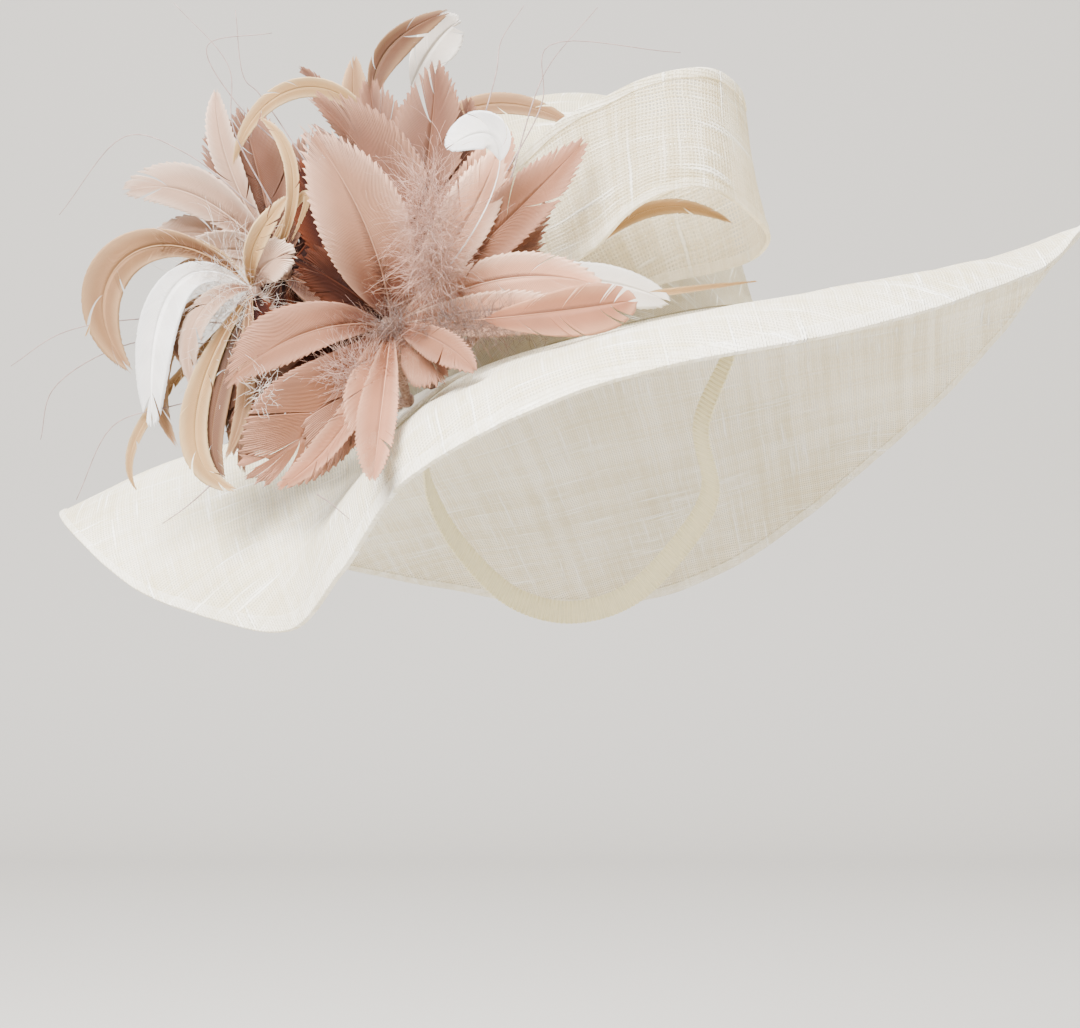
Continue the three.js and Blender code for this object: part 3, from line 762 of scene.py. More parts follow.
def plain_fibre(name, dark, light, scale, rough, depth, sheen=0.2, glow=0.0):
    """Felt, thread, quill or hair: two mottled shades with a fine raised grain."""
    material, tree, shader, output = bare_material(name)
    grain = noise(tree, new_node(tree, "ShaderNodeTexCoord").outputs["Object"], scale, 4.0)
    colour = blended(tree, eased(tree, grain, 0.3, 0.7), opaque(dark), opaque(light))
    finish = {
        "Base Color": colour,
        "Normal": raised(tree, grain, 0.6, depth),
        "Roughness": rough,
        "Sheen Weight": sheen,
    }
    feed(tree, shader, finish)
    if glow:
        let_light_through(tree, shader, output, colour, glow)
    else:
        tree.links.new(shader.outputs[0], output.inputs["Surface"])
    return material


def ribbed_material(name, colour, shade, rib, depth, glow=0.25):
    """Ribbon or elastic: fine ribs across its length, which the cloth map's first axis follows, with
    painted shade in the troughs between them.
    """
    material, tree, shader, output = bare_material(name)
    cloth = new_node(tree, "ShaderNodeUVMap", uv_map="cloth").outputs[0]
    spot = new_node(tree, "ShaderNodeSeparateXYZ", {"Vector": cloth}).outputs
    wave = maths(tree, "SINE", maths(tree, "MULTIPLY", spot[0], TAU / rib))
    fine = maths(tree, "SINE", maths(tree, "MULTIPLY", spot[1], TAU / (rib * 0.8)))
    height = maths(tree, "MULTIPLY_ADD", fine, 0.25, maths(tree, "MULTIPLY_ADD", wave, 0.5, 0.5))
    grain = noise(tree, cloth, 300.0, 3.0)
    # The grain's mottle is the ribbon's own; the troughs between the ribs are painted towards the darker
    # colour: painted shade.
    share = maths(tree, "MULTIPLY_ADD", grain, 0.5, maths(tree, "MULTIPLY", height, -0.4))
    tint = blended(tree, eased(tree, share, -0.3, 0.5), (*colour, 1), (*shade, 1))
    finish = {
        "Base Color": tint,
        "Normal": raised(tree, height, 0.7, depth),
        "Roughness": 0.6,
        "Sheen Weight": 0.25,
    }
    feed(tree, shader, finish)
    let_light_through(tree, shader, output, tint, glow)
    return material


# Mesh helpers


def numbers_of(items, name, size, kind=float):
    """Reads one number or vector of each item of a mesh into an array."""
    values = np.empty(len(items) * size, kind)
    items.foreach_get(name, values)
    return values.reshape(-1, size) if size > 1 else values


def settle(piece, node):
    """The finished piece stands for its node and rides on the hat's one body."""
    if node:
        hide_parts(node)
    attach(piece, "root")
    bpy.ops.object.select_all(action="DESELECT")


def bent_grid(name, rows, columns, surface, cloth, joined_ends=False, spread=None):
    """A grid primitive whose points are placed on a surface, with a flat map of the cloth.

    surface and cloth take shares along the rows and across the columns. spread gives the columns'
    shares where they aren't even. The shares across of the finished points come back too.
    """
    bpy.ops.mesh.primitive_grid_add(x_subdivisions=columns, y_subdivisions=rows, size=1)
    piece = bpy.context.object
    piece.name = name
    mesh = piece.data
    mesh.name = name
    flat = numbers_of(mesh.vertices, "co", 3)
    along = np.round((flat[:, 1] + 0.5) * rows) / rows
    across = np.round((flat[:, 0] + 0.5) * columns) / columns
    if spread is not None:
        across = np.interp(across, np.linspace(0, 1, columns + 1), spread)
    mesh.vertices.foreach_set("co", (surface(along, across) * MM).ravel())
    corners = numbers_of(mesh.loops, "vertex_index", 1, int)
    mesh.uv_layers[0].name = "cloth"
    mesh.uv_layers["cloth"].data.foreach_set("uv", (cloth(along, across)[corners] * MM).ravel())
    mesh.attributes.new("across", "FLOAT", "POINT").data.foreach_set("value", across)
    mesh.update()
    bpy.ops.object.mode_set(mode="EDIT")
    bpy.ops.mesh.select_all(action="SELECT")
    if joined_ends:
        bpy.ops.mesh.remove_doubles(threshold=1e-6)
    bpy.ops.mesh.normals_make_consistent(inside=False)
    bpy.ops.object.mode_set(mode="OBJECT")
    across = numbers_of(mesh.attributes["across"].data, "value", 1)
    mesh.attributes.remove(mesh.attributes["across"])
    return piece, across


def thicken(piece, wall, hem=None, in_hem=None, bevel=0.0):
    """Gives a sheet its wall, thicker where in_hem says so, and rounds its cut edges."""
    solid = piece.modifiers.new("Wall", "SOLIDIFY")
    solid.thickness = hem or wall
    solid.offset = 0
    solid.use_even_offset = False
    if hem:
        marks = piece.data.attributes.new("hem", "FLOAT", "POINT")
        marks.data.foreach_set("value", np.asarray(in_hem, float))
        group = piece.vertex_groups.new(name="thick")
        group.add(np.nonzero(in_hem)[0].tolist(), 1.0, "REPLACE")
        solid.vertex_group = "thick"
        solid.thickness_vertex_group = wall / hem
    bpy.ops.object.modifier_apply(modifier="Wall")
    if hem:
        piece.vertex_groups.clear()
    if bevel:
        rounded = piece.modifiers.new("Rim", "BEVEL")
        rounded.width = bevel
        rounded.segments = 2
        rounded.angle_limit = math.radians(70)
        bpy.ops.object.modifier_apply(modifier="Rim")
    bpy.ops.object.shade_smooth_by_angle(angle=math.radians(50))


def mesh_piece(name, points, faces, materials, face_materials=None, values=None):
    """A piece from points in millimetres and faces, with named values on its points."""
    mesh = bpy.data.meshes.new(name)
    mesh.from_pydata((points * MM).tolist(), [], faces)
    for label, numbers in (values or {}).items():
        mesh.attributes.new(label, "FLOAT", "POINT").data.foreach_set("value", numbers)
    for material in materials:
        mesh.materials.append(material)
    if face_materials is not None:
        mesh.polygons.foreach_set("material_index", face_materials)
    mesh.polygons.foreach_set("use_smooth", [True] * len(mesh.polygons))
    mesh.update()
    piece = bpy.data.objects.new(name, mesh)
    bpy.context.scene.collection.objects.link(piece)
    return piece


class Strands:
    """Closed strips of three sides, gathered for one piece."""

    def __init__(self):
        self.points = []
        self.faces = []
        self.finish = []
        self.tone = []
        self.reach = []
        self.rise = []
        self.count = 0

    def add(self, centres, sideways, ridge, material, tone, reach, rise=None):
        """centres, sideways, ridge: strip, station, xyz. tone: one per strip. reach: one per station."""
        strips, stations = centres.shape[:2]
        forward = centres[:, 1] - centres[:, 0]
        turned = np.einsum("ij,ij->i", np.cross(sideways[:, 0], ridge[:, 0]), forward) < 0
        sideways = np.where(turned[:, None, None], -sideways, sideways)
        ring = np.stack([centres - sideways, centres + sideways, centres + ridge], axis=2)
        self.points.append(ring.reshape(-1, 3))
        first = self.count + np.arange(strips) * stations * 3
        corners = []
        for k in range(stations - 1):
            for side in range(3):
                following = (side + 1) % 3
                corners.append([3 * k + side, 3 * k + following, 3 * k + 3 + following, 3 * k + 3 + side])
        last = 3 * (stations - 1)
        quads = (first[:, None, None] + np.array(corners)[None]).reshape(-1, 4)
        ends = np.array([[0, 2, 1], [last, last + 1, last + 2]])
        caps = (first[:, None, None] + ends[None]).reshape(-1, 3)
        self.faces += quads.tolist() + caps.tolist()
        self.finish += [material] * (len(quads) + len(caps))
        self.tone.append(np.repeat(tone, stations * 3))
        self.reach.append(np.tile(np.repeat(reach, 3), strips))
        along = np.full((strips, stations), 0.4) if rise is None else rise
        self.rise.append(np.repeat(along.ravel(), 3))
        self.count += strips * stations * 3

    def add_tube(self, route, radii, material, sides=6, tone=0.5, reach=0.0):
        """A closed round tube along one route."""
        route = np.asarray(route, float)
        stations = len(route)
        tangent = unit(np.gradient(route, axis=0))
        guide = np.array([0.31, 0.87, 0.38])
        side = unit(np.cross(tangent, guide))
        up = np.cross(side, tangent)
        angles = np.arange(sides) * TAU / sides
        radii = np.broadcast_to(radii, stations)
        ring = np.cos(angles)[None, :, None] * side[:, None] + np.sin(angles)[None, :, None] * up[:, None]
        points = route[:, None] + ring * radii[:, None, None]
        self.points.append(points.reshape(-1, 3))
        start = self.count
        made = []
        for k in range(stations - 1):
            for i in range(sides):
                j = (i + 1) % sides
                low, high = start + k * sides, start + (k + 1) * sides
                made.append([low + j, low + i, high + i, high + j])
        made.append([start + i for i in range(sides)])
        made.append([start + (stations - 1) * sides + i for i in reversed(range(sides))])
        self.faces += made
        self.finish += [material] * len(made)
        self.tone.append(np.full(stations * sides, tone))
        self.reach.append(np.full(stations * sides, reach))
        self.rise.append(np.full(stations * sides, 0.4))
        self.count += stations * sides

    def piece(self, name, materials):
        values = {label: np.concatenate(getattr(self, label)) for label in ("tone", "reach", "rise")}
        return mesh_piece(name, np.concatenate(self.points), self.faces, materials, self.finish, values)


# Cloth pieces


def crown_surface(along, across):
    """The blocked dome, from the foot at 0 to the top at 1, and out to the foot's small turn-out."""
    turn = along * TAU
    stand = np.clip(across / 0.2, 0, 1)
    lean = (1 - np.clip((across - 0.2) / 0.8, 0, 1)) * math.pi / 2
    reach = np.sin(lean) ** (2 / CROWN_SQUARENESS)
    dome = CROWN_HEIGHT - CROWN_BASE - CROWN_STAND - CROWN_WALL / 2
    height = CROWN_BASE - CROWN_DIP + (CROWN_STAND + CROWN_DIP) * stand
    height = height + np.cos(lean) ** (2 / CROWN_SQUARENESS) * dome
    swell = ripple(np.stack([turn * 90, across * 140], axis=1), 5, 70, 0.35)
    swell = swell * np.sin(np.clip(across, 0, 1) * math.pi)
    flare = CROWN_FLARE * np.exp(-((height - CROWN_BASE) / 1.6) ** 2)
    push = swell + flare - CROWN_WALL / 2
    x = (CROWN_ACROSS + push) * reach * np.cos(turn)
    y = (CROWN_ALONG + push) * reach * np.sin(turn)
    return tilted(np.stack([x, y, height], axis=1))


def make_crown(sizes):
    def cloth(along, across):
        down = (1 - across) * (CROWN_HEIGHT + 60)
        return np.stack([down * np.cos(along * TAU), down * np.sin(along * TAU)], axis=1)

    piece, _ = bent_grid("crown_cloth", 180, 60, crown_surface, cloth, joined_ends=True)
    thicken(piece, sizes.cloth)
    # deep=0.5 mixes the crown's straw half way to the darker thread colour: painted shade, for a crown
    # that stands in the shade of the bow and the feathers.
    piece.data.materials.append(straw_material("crown_straw", openness=0.8, glow=0.35, deep=0.5))
    settle(piece, "crown")


def make_brim(sizes):
    width = BRIM_REACH - RING_ACROSS
    hem_from = 1 - sizes.hem_width / MM / width
    plain = np.linspace(0, hem_from, 42)
    hem = np.linspace(hem_from + 0.3 / width, 1, 9)
    spread = np.concatenate([plain, hem])

    def surface(along, across):
        turn = along * TAU
        points = brim_surface(turn, across)
        free = np.sin(across * math.pi) ** 0.6
        plan = points[:, :2]
        points[:, 2] += ripple(plan, 11, 150, 0.8) * free + ripple(plan, 12, 38, 0.25) * across
        return tilted(points)

    def cloth(along, across):
        turn = along * TAU
        points = brim_surface(turn, across)
        ring = brim_surface(turn, np.zeros_like(turn))
        out = np.linalg.norm(ring[:, :2], axis=1) + np.linalg.norm(points - ring, axis=1)
        return np.stack([out * np.cos(turn), out * np.sin(turn)], axis=1)

    piece, out = bent_grid("brim_cloth", 360, len(spread) - 1, surface, cloth, True, spread)
    thicken(piece, sizes.cloth, sizes.hem, out > hem_from + 0.15 / width, bevel=0.0008)
    piece.data.materials.append(straw_material("brim_straw", turn=0.06, openness=0.6, glow=0.25))
    settle(piece, "brim")


def make_headband(colours):
    def surface(along, across):
        turn = along * TAU
        middle = BAND_WALL / 2
        height = BAND_BOTTOM + (BAND_TOP - BAND_BOTTOM) * across
        give = 0.25 * np.sin(turn * 9) * np.sin(across * math.pi)
        x = (HEAD_ACROSS + middle + give) * np.cos(turn)
        y = (HEAD_ALONG + middle + give) * np.sin(turn)
        return tilted(np.stack([x, y, height], axis=1))

    def cloth(along, across):
        length = TAU * (HEAD_ACROSS + HEAD_ALONG) / 2
        return np.stack([along * length, across * (BAND_TOP - BAND_BOTTOM)], axis=1)

    piece, _ = bent_grid("headband_ribbon", 240, 10, surface, cloth, joined_ends=True)
    thicken(piece, 0.9 * MM, bevel=0.2 * MM)
    # A darker copy of the ribbon's colour, for its mottle and for the painted shade between its ribs.
    shade = tuple(v * 0.86 for v in colours.straw_shade)
    piece.data.materials.append(ribbed_material("ribbon", tuple(colours.straw), shade, 0.0011, 0.0003))
    settle(piece, "headband")


def strap_end(degrees, height):
    """A point of the strap where it lies flat inside the headband."""
    inset = STRAP_WALL / 2 + 3 * SEWN_GAP
    turn = math.radians(degrees)
    radius = ellipse_radius(turn, HEAD_ACROSS - inset, HEAD_ALONG - inset)
    return tilted(np.array([radius * math.cos(turn), radius * math.sin(turn), height]))


def make_strap(colours):
    sewn = (STRAP_SEWN_TOP, STRAP_SEWN_TOP / 3, -STRAP_SEWN_TOP / 3)
    route = [strap_end(STRAP_TURNS[0], height) for height in sewn]
    route += [np.array(point, float) for point in STRAP_ROUTE]
    route += [strap_end(STRAP_TURNS[1], height) for height in reversed(sewn)]
    rows = 760
    shares = np.linspace(0, 1, rows + 1)
    line, length = evenly(route, shares)
    tangent = unit(np.gradient(line, axis=0))
    outward = upright(line) * np.array([1 / HEAD_ACROSS**2, 1 / HEAD_ALONG**2, 0])
    across_way = unit(np.cross(tangent, unit(tilted(outward))))
    away = np.cross(across_way, tangent)

    def surface(along, across):
        row = np.round(along * rows).astype(int)
        beat = along * length / STRAP_PLEAT * TAU
        deep = 0.42 * np.sin(beat + 0.5 * np.sin(along * 40)) * (0.65 + 0.35 * np.cos(across * TAU))
        wide = STRAP_WIDTH * (1 + 0.035 * np.sin(beat + 1.0))
        offset = ((across - 0.5) * wide)[:, None] * across_way[row]
        return line[row] + offset + deep[:, None] * away[row]

    def cloth(along, across):
        return np.stack([along * length, across * STRAP_WIDTH], axis=1)

    piece, _ = bent_grid("nape_strap_elastic", rows, 8, surface, cloth)
    thicken(piece, 0.7 * MM)
    # A darker copy of the elastic's colour, for its mottle and for the painted shade between its ribs.
    shade = tuple(v * 0.8 for v in colours.strap)
    elastic = ribbed_material("strap_elastic", tuple(colours.strap), shade, 0.0009, 0.0002, 0.3)
    piece.data.materials.append(elastic)
    settle(piece, "nape_strap")


def make_bow(sizes):
    upper = [section[0] for section in BOW_SECTIONS]
    lower = [section[1] for section in BOW_SECTIONS]
    rows = 300
    shares = np.linspace(0, 1, rows + 1)
    top, foot = through(upper, shares), through(lower, shares)
    middle = (top + foot) / 2
    length = np.concatenate([[0], np.cumsum(np.linalg.norm(np.diff(middle, axis=0), axis=1))])
    mean_width = np.linalg.norm(top - foot, axis=1).mean()
    hem_share = BOW_HEM / mean_width
    hem = np.linspace(0, hem_share, 6)
    plain = np.linspace(hem_share + 0.006, 1 - hem_share - 0.006, 26)
    spread = np.concatenate([hem, plain, np.linspace(1 - hem_share, 1, 6)])
    tangent = unit(np.gradient(middle, axis=0))
    away = unit(np.cross(tangent, unit(top - foot)))

    def surface(along, across):
        row = np.round(along * rows).astype(int)
        points = foot[row] + (top - foot)[row] * across[:, None]
        spots = np.stack([length[row], across * mean_width], axis=1)
        swell = ripple(spots, 21, 60, 0.5) + ripple(spots, 22, 17, 0.12)
        return points + (swell * np.sin(across * math.pi) ** 0.5)[:, None] * away[row]

    def cloth(along, across):
        row = np.round(along * rows).astype(int)
        return np.stack([length[row], across * mean_width], axis=1)

    piece, share = bent_grid("bow_loop_cloth", rows, len(spread) - 1, surface, cloth, spread=spread)
    in_hem = (share < hem_share + 0.003) | (share > 1 - hem_share - 0.003)
    thicken(piece, sizes.cloth * 0.8, 0.0021, in_hem, bevel=0.0006)
    straw = straw_material("bow_straw", turn=0.12, openness=1.0, glow=0.55, coarse=1.25)
    piece.data.materials.append(straw)
    settle(piece, "bow_loop")


def make_base():
    """Felt disc, cut round, that follows the brim."""
    bpy.ops.mesh.primitive_circle_add(vertices=64, radius=BASE_RADIUS, fill_type="TRIFAN")
    piece = bpy.context.object
    piece.name = "feather_base_felt"
    bpy.ops.object.mode_set(mode="EDIT")
    bpy.ops.mesh.select_all(action="SELECT")
    bpy.ops.mesh.subdivide(number_cuts=5)
    bpy.ops.object.mode_set(mode="OBJECT")
    mesh = piece.data
    flat = numbers_of(mesh.vertices, "co", 3)
    lift = BASE_CLEARANCE + BASE_WALL / 2
    placed = tilted(over_base(flat[:, 0], flat[:, 1], lift)) * MM
    mesh.vertices.foreach_set("co", placed.ravel())
    mesh.update()
    thicken(piece, BASE_WALL * MM, bevel=0.5 * MM)
    piece.data.materials.append(plain_fibre("felt", "D9CFB8", "EFE8D6", 900.0, 0.95, 0.0006, sheen=0.5))
    settle(piece, "feather_base")


# Feathers


def quill_points(core, via, bend, tip, t):
    """Point and direction along a feather's quill."""
    core, via, tip = (np.array(p, float) for p in (core, via, tip))
    t = t[..., None]
    if bend is None:
        point = (1 - t) ** 2 * core + 2 * t * (1 - t) * via + t**2 * tip
        slope = 2 * (1 - t) * (via - core) + 2 * t * (tip - via)
    else:
        bend = np.array(bend, float)
        point = (1 - t) ** 3 * core + 3 * t * (1 - t) ** 2 * via + 3 * t**2 * (1 - t) * bend + t**3 * tip
        slope = 3 * (1 - t) ** 2 * (via - core) + 6 * t * (1 - t) * (bend - via) + 3 * t**2 * (tip - bend)
    return point, unit(slope)


def vane_outline(t, tints, bare):
    """Half width of the vane along the quill, as a share of its widest."""
    share = np.clip((t - bare) / (1 - bare), 0, 1)
    body = np.sin(math.pi * share ** tints["peak"]) ** tints["narrow"]
    return np.maximum(body, 0.16 - 0.06 * share) * (t >= bare)


def quill_frame(row, core, t, roll, twist):
    """Points along a quill with the directions forward, across the vane and out of its face."""
    _, via, bend, tip = row[:4]
    point, forward = quill_points(core, via, bend, tip, t)
    across = unit(np.cross(forward, np.array([0.0, -1.0, 0.0])))
    facing = np.cross(across, forward)
    angle = (roll + twist * t)[..., None]
    turned = across * np.cos(angle) + facing * np.sin(angle)
    return point, forward, turned, facing * np.cos(angle) - across * np.sin(angle)


def row_steps(centre, part):
    """From each barb to the next one of its cluster, station by station."""
    gap = np.empty_like(centre)
    gap[:-1] = centre[1:] - centre[:-1]
    gap[-1] = gap[-2]
    breaks = np.nonzero(part[1:] != part[:-1])[0]
    gap[breaks] = gap[np.maximum(breaks - 1, 0)]
    return gap


def add_feather(strands, rng, core, row, materials, barb):
    """Two close rows of barbs that lean towards the tip, in clusters, on a tapering quill."""
    look, via, bend, tip, width, *rest = row
    skew, bare = rest or (rng.uniform(-0.2, 0.2), 0.0)
    tints = LOOKS[look]
    spine, _ = quill_points(core, via, bend, tip, np.linspace(0, 1, 60))
    length = np.linalg.norm(np.diff(spine, axis=0), axis=1).sum()
    roll = rng.uniform(-0.25, 0.25)
    twist = rng.uniform(-0.35, 0.35)
    camber = rng.uniform(0.1, 0.22)
    count = int(length * 0.9 * (1 - bare) / (barb / MM))
    steps = np.linspace(0, 1, 7)
    vane = materials.index(look)
    for side in (-1, 1):
        half = width / 2 * (1 + side * skew)
        start = 0.04 + bare + (0.9 - bare) * (np.arange(count) + 0.5) / count
        cuts = np.sort(bare + (1 - bare) * rng.uniform(0.2, 0.9, tints["splits"]))
        part = np.searchsorted(cuts, start)
        # Beside a cut the barbs part, so that a slit opens towards the edge.
        off = start[:, None] - cuts[None]
        opening = rng.uniform(0.1, 1.0, len(cuts)) ** 2 * SLIT / length
        parted = (np.sign(off) * opening * np.exp(-np.abs(off) / 0.04)).sum(axis=1) / 2
        slant = rng.uniform(0.9, 1.12, len(cuts) + 1)[part]
        lifted = rng.normal(0, 0.05, len(cuts) + 1)[part]
        shade = rng.uniform(0.1, 0.9, len(cuts) + 1)[part]
        # A barb leaves the quill at an angle that closes towards the tip, where barbs shorten.
        lean = half / length * (0.75 + 0.9 * start) * slant * np.minimum(1, (1.04 - start) / 0.3)
        finish = start + lean + parted
        start, finish = start / finish.max(), finish / finish.max()
        edge = np.maximum(half * vane_outline(finish, tints, bare), 0.4)
        # A pinked edge is cut in teeth, so every barb is cut off somewhere along its way.
        run = finish * length / TOOTH
        teeth = np.abs(run % 1 - 0.5) * 2 * TOOTH_DEPTH * tints["teeth"] * np.clip(edge / 6, 0, 1)
        teeth = teeth * (finish > 0.3) * (0.8 + 0.4 * rng.random(int(run.max()) + 2)[run.astype(int)])
        way = steps * np.clip(1 - (teeth + np.abs(rng.normal(0, 0.1, count))) / edge, 0.3, 1)[:, None]
        t = start[:, None] + (finish - start)[:, None] * way**1.2
        x = edge[:, None] * way**0.85
        point, _, across, facing = quill_frame(row, core, t, roll, twist)
        hollow = (camber + lifted[:, None]) * half * (x / half) ** 2
        wave = 0.05 * half * np.sin(t * 13 + side + roll * 20) * steps**1.5
        centre = point + side * x[..., None] * across + (hollow + wave)[..., None] * facing
        beside = row_steps(centre, part)
        size = np.linalg.norm(beside, axis=2, keepdims=True)
        beside = beside * np.minimum(1, 2.2 * np.median(size) / np.maximum(size, 1e-6))
        beside = 0.56 * beside + 0.05 * side * facing
        ridge = facing * (0.09 * (1 - 0.4 * steps))[:, None]
        strands.add(centre, beside, ridge, vane, 0.75 * shade + 0.25 * rng.random(count), steps, t)
    share = np.linspace(0, 0.93, 24)
    quill_run, _ = quill_points(core, via, bend, tip, share)
    radii = (0.5 - 0.43 * share) * min(1.0, 0.45 + width / 45)
    strands.add_tube(quill_run, radii, vane, sides=6, reach=0.7)
    if width >= 15 and not bare and look != "rust":
        add_tuft(strands, rng, core, row, vane, roll, twist)


def add_tuft(strands, rng, core, row, vane, roll, twist):
    """Loose downy barbs at the foot of a vane."""
    count = 90
    t = rng.uniform(0.06, 0.32, count)
    point, forward, across, facing = quill_frame(row, core, t, roll, twist)
    side = rng.choice([-1.0, 1.0], count)[:, None]
    aim = unit(side * across + 0.9 * forward + rng.normal(0, 0.3, (count, 3)) + 0.25 * facing)
    reach = rng.uniform(4, 9, count) * min(1.4, 0.5 + row[4] / 30)
    add_hairs(strands, rng, point, aim, reach, 0.09, vane, 5, 0.25)


def add_hairs(strands, rng, root, aim, reach, thin, material, steps, bend):
    """Crooked fine strands from roots along their aims."""
    count = len(root)
    path = [root]
    turn = aim
    for _ in range(steps):
        turn = unit(turn + rng.normal(0, bend, (count, 3)))
        path.append(path[-1] + turn * (reach / steps)[:, None])
    side = unit(np.cross(aim, rng.normal(0, 1, (count, 3))))
    up = np.cross(side, aim)
    shares = np.linspace(0, 1, steps + 1)
    taper = thin * (1 - 0.6 * shares)[None, :, None]
    centres = np.stack(path, axis=1)
    tone = rng.random(count)
    strands.add(centres, side[:, None] * taper, up[:, None] * taper * 1.6, material, tone, shares)


def add_stem(strands, core, radius, foot, material):
    """Wired stem bound with thread, from the felt base to the spray's core."""
    lift = BASE_CLEARANCE + BASE_WALL + SEWN_GAP + STEM_FOOT_RADIUS
    landing = tilted(over_base(np.array(float(foot[0])), np.array(float(foot[1])), lift))
    core = np.array(core, float)
    shares = np.linspace(0, 1, 70)[:, None]
    route = landing + (core - landing) * shares
    bound = STEM_RADIUS + 0.18 * np.sin(shares[:, 0] * np.linalg.norm(core - landing) * TAU / 1.6)
    strands.add_tube(route, bound, material, sides=10)
    for centre, size in ((landing, STEM_FOOT_RADIUS), (core, radius * 0.5)):
        polar = np.linspace(0.12, math.pi - 0.12, 14)
        lumps = size * np.sin(polar) * (1 + 0.05 * np.sin(polar * 17))
        knot = centre + np.outer(np.cos(polar) * size, unit(core - landing))
        strands.add_tube(knot, lumps, material, sides=14)


def make_spray(name, seed, sizes):
    """The small feathers behind and the large ones on their stem, each set a piece of its own."""
    spray = SPRAYS[name]
    rng = np.random.default_rng(seed)
    for label, rows in (("fillers", FILLERS.get(name)), ("vanes", spray["feathers"])):
        if not rows:
            continue
        looks = list(dict.fromkeys(row[0] for row in rows))
        finishes = [shared(f"{look}_vane", lambda look=look: feather_material(look)) for look in looks]
        strands = Strands()
        for row in rows:
            add_feather(strands, rng, spray["core"], row, looks, sizes.barb)
        if label == "vanes":
            add_stem(strands, spray["core"], spray["radius"], spray["foot"], len(looks))
            finishes.append(shared("binding", binding_thread))
        settle(strands.piece(f"{name}_{label}", finishes), name)


def binding_thread():
    return plain_fibre("binding", "7B5A48", "B0907C", 700.0, 0.8, 0.0003)


def shared(name, build):
    """A material that more than one piece uses, built for the first of them."""
    return bpy.data.materials.get(name) or build()


def make_down(seed):
    """Marabou: fine crooked strands that stand out from the hearts of the flowers."""
    rng = np.random.default_rng(seed)
    strands = Strands()
    names = list(DOWN_TINTS)
    for centre, bed, length, count, tint in DOWN_BEDS:
        middle, spread = np.array(centre, float), np.array(bed, float)
        root = middle + rng.normal(0, 0.55, (count, 3)) * spread
        aim = unit((root - middle) / spread + rng.normal(0, 0.8, (count, 3)) + [0, -0.4, 0.2])
        reach = length * rng.uniform(0.4, 1.15, count)
        add_hairs(strands, rng, root, aim, reach, 0.1, names.index(tint), 6, 0.24)
    finishes = [plain_fibre(name, *DOWN_TINTS[name], 260.0, 0.8, 0.0001, 0.4, 0.5) for name in names]
    piece = strands.piece("marabou_down", finishes)
    settle(piece, None)


def make_wisps(sizes):
    """Bare stripped barbs that fly out of the flowers."""
    strands = Strands()
    shares = np.linspace(0, 1, 26)
    for points in WISPS:
        strands.add_tube(through(points, shares), sizes.wisp / MM * (1.15 - 0.6 * shares), 0, sides=5)
    piece = strands.piece("bare_wisps", [plain_fibre("wisp", "6E5650", "8F7770", 300.0, 0.5, 0.0001)])
    settle(piece, None)


# The stage

CAMERA_PLACE = (-0.017, -1.3, -0.072)
LENS = 89.35
FLOOR_HEIGHT = -0.5
BACKDROP_DEPTH = 2.5
BACKDROP_TOP = 2.6
SWEEP_RADIUS = 0.5
FLOOR_FRONT = -3.0
FLOOR_SIDE = 5.0
LIGHTS = (
    ("key_light", (-0.8, -1.5, 1.5), 1.2, 350.0),
    ("fill_light", (1.5, -1.3, 0.4), 1.8, 22.0),
    ("top_light", (0.1, 0.3, 1.8), 1.4, 70.0),
)


def make_stage(colours):
    profile = [(FLOOR_FRONT, FLOOR_HEIGHT)]
    for i in range(13):
        angle = i / 12 * math.pi / 2
        depth = BACKDROP_DEPTH - SWEEP_RADIUS + SWEEP_RADIUS * math.sin(angle)
        profile.append((depth, FLOOR_HEIGHT + SWEEP_RADIUS * (1 - math.cos(angle))))
    profile.append((BACKDROP_DEPTH, BACKDROP_TOP))
    points = [(x, y, z) for y, z in profile for x in (-FLOOR_SIDE, FLOOR_SIDE)]
    faces = [(2 * i, 2 * i + 1, 2 * i + 3, 2 * i + 2) for i in range(len(profile) - 1)]
    mesh = bpy.data.meshes.new("backdrop")
    mesh.from_pydata(points, [], faces)
    mesh.polygons.foreach_set("use_smooth", [True] * len(faces))
    backdrop = bpy.data.objects.new("backdrop", mesh)
    bpy.context.scene.collection.objects.link(backdrop)
    material, tree, shader, output = bare_material("backdrop_paper")
    feed(tree, shader, {"Base Color": (*colours.backdrop, 1), "Roughness": 0.9})
    tree.links.new(shader.outputs[0], output.inputs["Surface"])
    mesh.materials.append(material)

    world = bpy.data.worlds.new("studio")
    bpy.context.scene.world = world
    world.use_nodes = True
    background = world.node_tree.nodes["Background"]
    background.inputs["Color"].default_value = (0.97, 0.96, 0.94, 1)
    background.inputs["Strength"].default_value = 0.62
    for name, place, size, power in LIGHTS:
        light = bpy.data.lights.new(name, "AREA")
        light.size = size
        light.energy = power
        lamp = bpy.data.objects.new(name, light)
        lamp.location = place
        lamp.rotation_euler = (Vector((0, 0, 0)) - Vector(place)).to_track_quat("-Z", "Y").to_euler()
        bpy.context.scene.collection.objects.link(lamp)

    camera_data = bpy.data.cameras.new("camera")
    camera_data.sensor_width = 36
    camera_data.lens = LENS
    camera_data.clip_end = 20
    camera = bpy.data.objects.new("camera", camera_data)
    camera.location = CAMERA_PLACE
    camera.rotation_euler = (math.pi / 2, 0, 0)
    bpy.context.scene.collection.objects.link(camera)
    bpy.context.scene.camera = camera


# Operators


class HAT_OT_stage(bpy.types.Operator):
    """Set the camera, the soft lights and the backdrop"""

    bl_idname = "hat.stage"
    bl_label = "Stage"

    def execute(self, context):
        make_stage(context.scene.hat_colours)
        return {"FINISHED"}


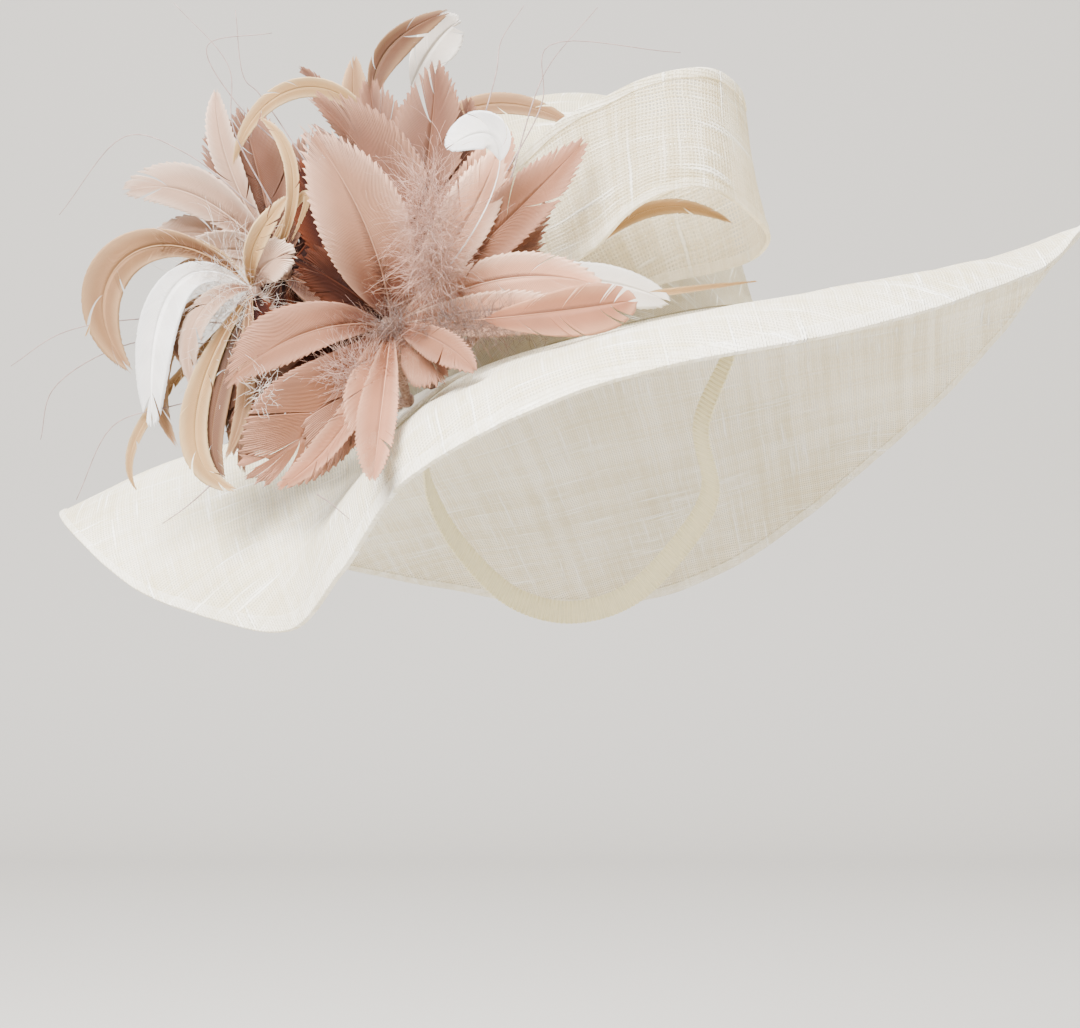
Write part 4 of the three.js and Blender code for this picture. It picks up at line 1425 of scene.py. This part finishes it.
class HAT_OT_crown(bpy.types.Operator):
    """Block the crown of woven straw cloth"""

    bl_idname = "hat.crown"
    bl_label = "Crown"

    def execute(self, context):
        make_crown(context.scene.hat_sizes)
        return {"FINISHED"}


class HAT_OT_brim(bpy.types.Operator):
    """Sweep the brim and roll its hem"""

    bl_idname = "hat.brim"
    bl_label = "Brim"

    def execute(self, context):
        make_brim(context.scene.hat_sizes)
        return {"FINISHED"}


class HAT_OT_headband(bpy.types.Operator):
    """Line the opening with ribbed ribbon"""

    bl_idname = "hat.headband"
    bl_label = "Headband"

    def execute(self, context):
        make_headband(context.scene.hat_colours)
        return {"FINISHED"}


class HAT_OT_strap(bpy.types.Operator):
    """Hang the pleated nape strap"""

    bl_idname = "hat.strap"
    bl_label = "Nape strap"

    def execute(self, context):
        make_strap(context.scene.hat_colours)
        return {"FINISHED"}


class HAT_OT_bow(bpy.types.Operator):
    """Fold the bow loop"""

    bl_idname = "hat.bow"
    bl_label = "Bow loop"

    def execute(self, context):
        make_bow(context.scene.hat_sizes)
        return {"FINISHED"}


class HAT_OT_base(bpy.types.Operator):
    """Cut the felt base under the feathers"""

    bl_idname = "hat.base"
    bl_label = "Feather base"

    def execute(self, context):
        make_base()
        return {"FINISHED"}


class HAT_OT_sprays(bpy.types.Operator):
    """Bind the feather flowers and plumes"""

    bl_idname = "hat.sprays"
    bl_label = "Feather sprays"

    def execute(self, context):
        for seed, name in enumerate(SPRAYS):
            make_spray(name, 40 + seed, context.scene.hat_sizes)
        return {"FINISHED"}


class HAT_OT_down(bpy.types.Operator):
    """Fluff the marabou in the hearts of the flowers"""

    bl_idname = "hat.down"
    bl_label = "Marabou"

    def execute(self, context):
        make_down(71)
        return {"FINISHED"}


class HAT_OT_wisps(bpy.types.Operator):
    """Let bare strands fly out of the flowers"""

    bl_idname = "hat.wisps"
    bl_label = "Bare strands"

    def execute(self, context):
        make_wisps(context.scene.hat_sizes)
        return {"FINISHED"}


OPERATORS = (
    HAT_OT_stage,
    HAT_OT_crown,
    HAT_OT_brim,
    HAT_OT_headband,
    HAT_OT_strap,
    HAT_OT_bow,
    HAT_OT_base,
    HAT_OT_sprays,
    HAT_OT_down,
    HAT_OT_wisps,
)


class HAT_PT_workshop(bpy.types.Panel):
    """Steps and values of the hat"""

    bl_idname = "HAT_PT_workshop"
    bl_label = "Sinamay hat"
    bl_space_type = "VIEW_3D"
    bl_region_type = "UI"
    bl_category = "Hat"

    def draw(self, context):
        for operator in OPERATORS:
            self.layout.operator(operator.bl_idname)
        for values in (context.scene.hat_sizes, context.scene.hat_colours):
            for name in values.__annotations__:
                self.layout.prop(values, name)


CLASSES = (HatSizes, HatColours, *OPERATORS, HAT_PT_workshop)


def register():
    for one in CLASSES:
        bpy.utils.register_class(one)
    bpy.types.Scene.hat_sizes = bpy.props.PointerProperty(type=HatSizes)
    bpy.types.Scene.hat_colours = bpy.props.PointerProperty(type=HatColours)


def unregister():
    del bpy.types.Scene.hat_colours
    del bpy.types.Scene.hat_sizes
    for one in reversed(CLASSES):
        bpy.utils.unregister_class(one)


def main():
    register()
    for operator in OPERATORS:
        getattr(bpy.ops.hat, operator.bl_idname.split(".")[1])()


if __name__ == "__main__":
    main()
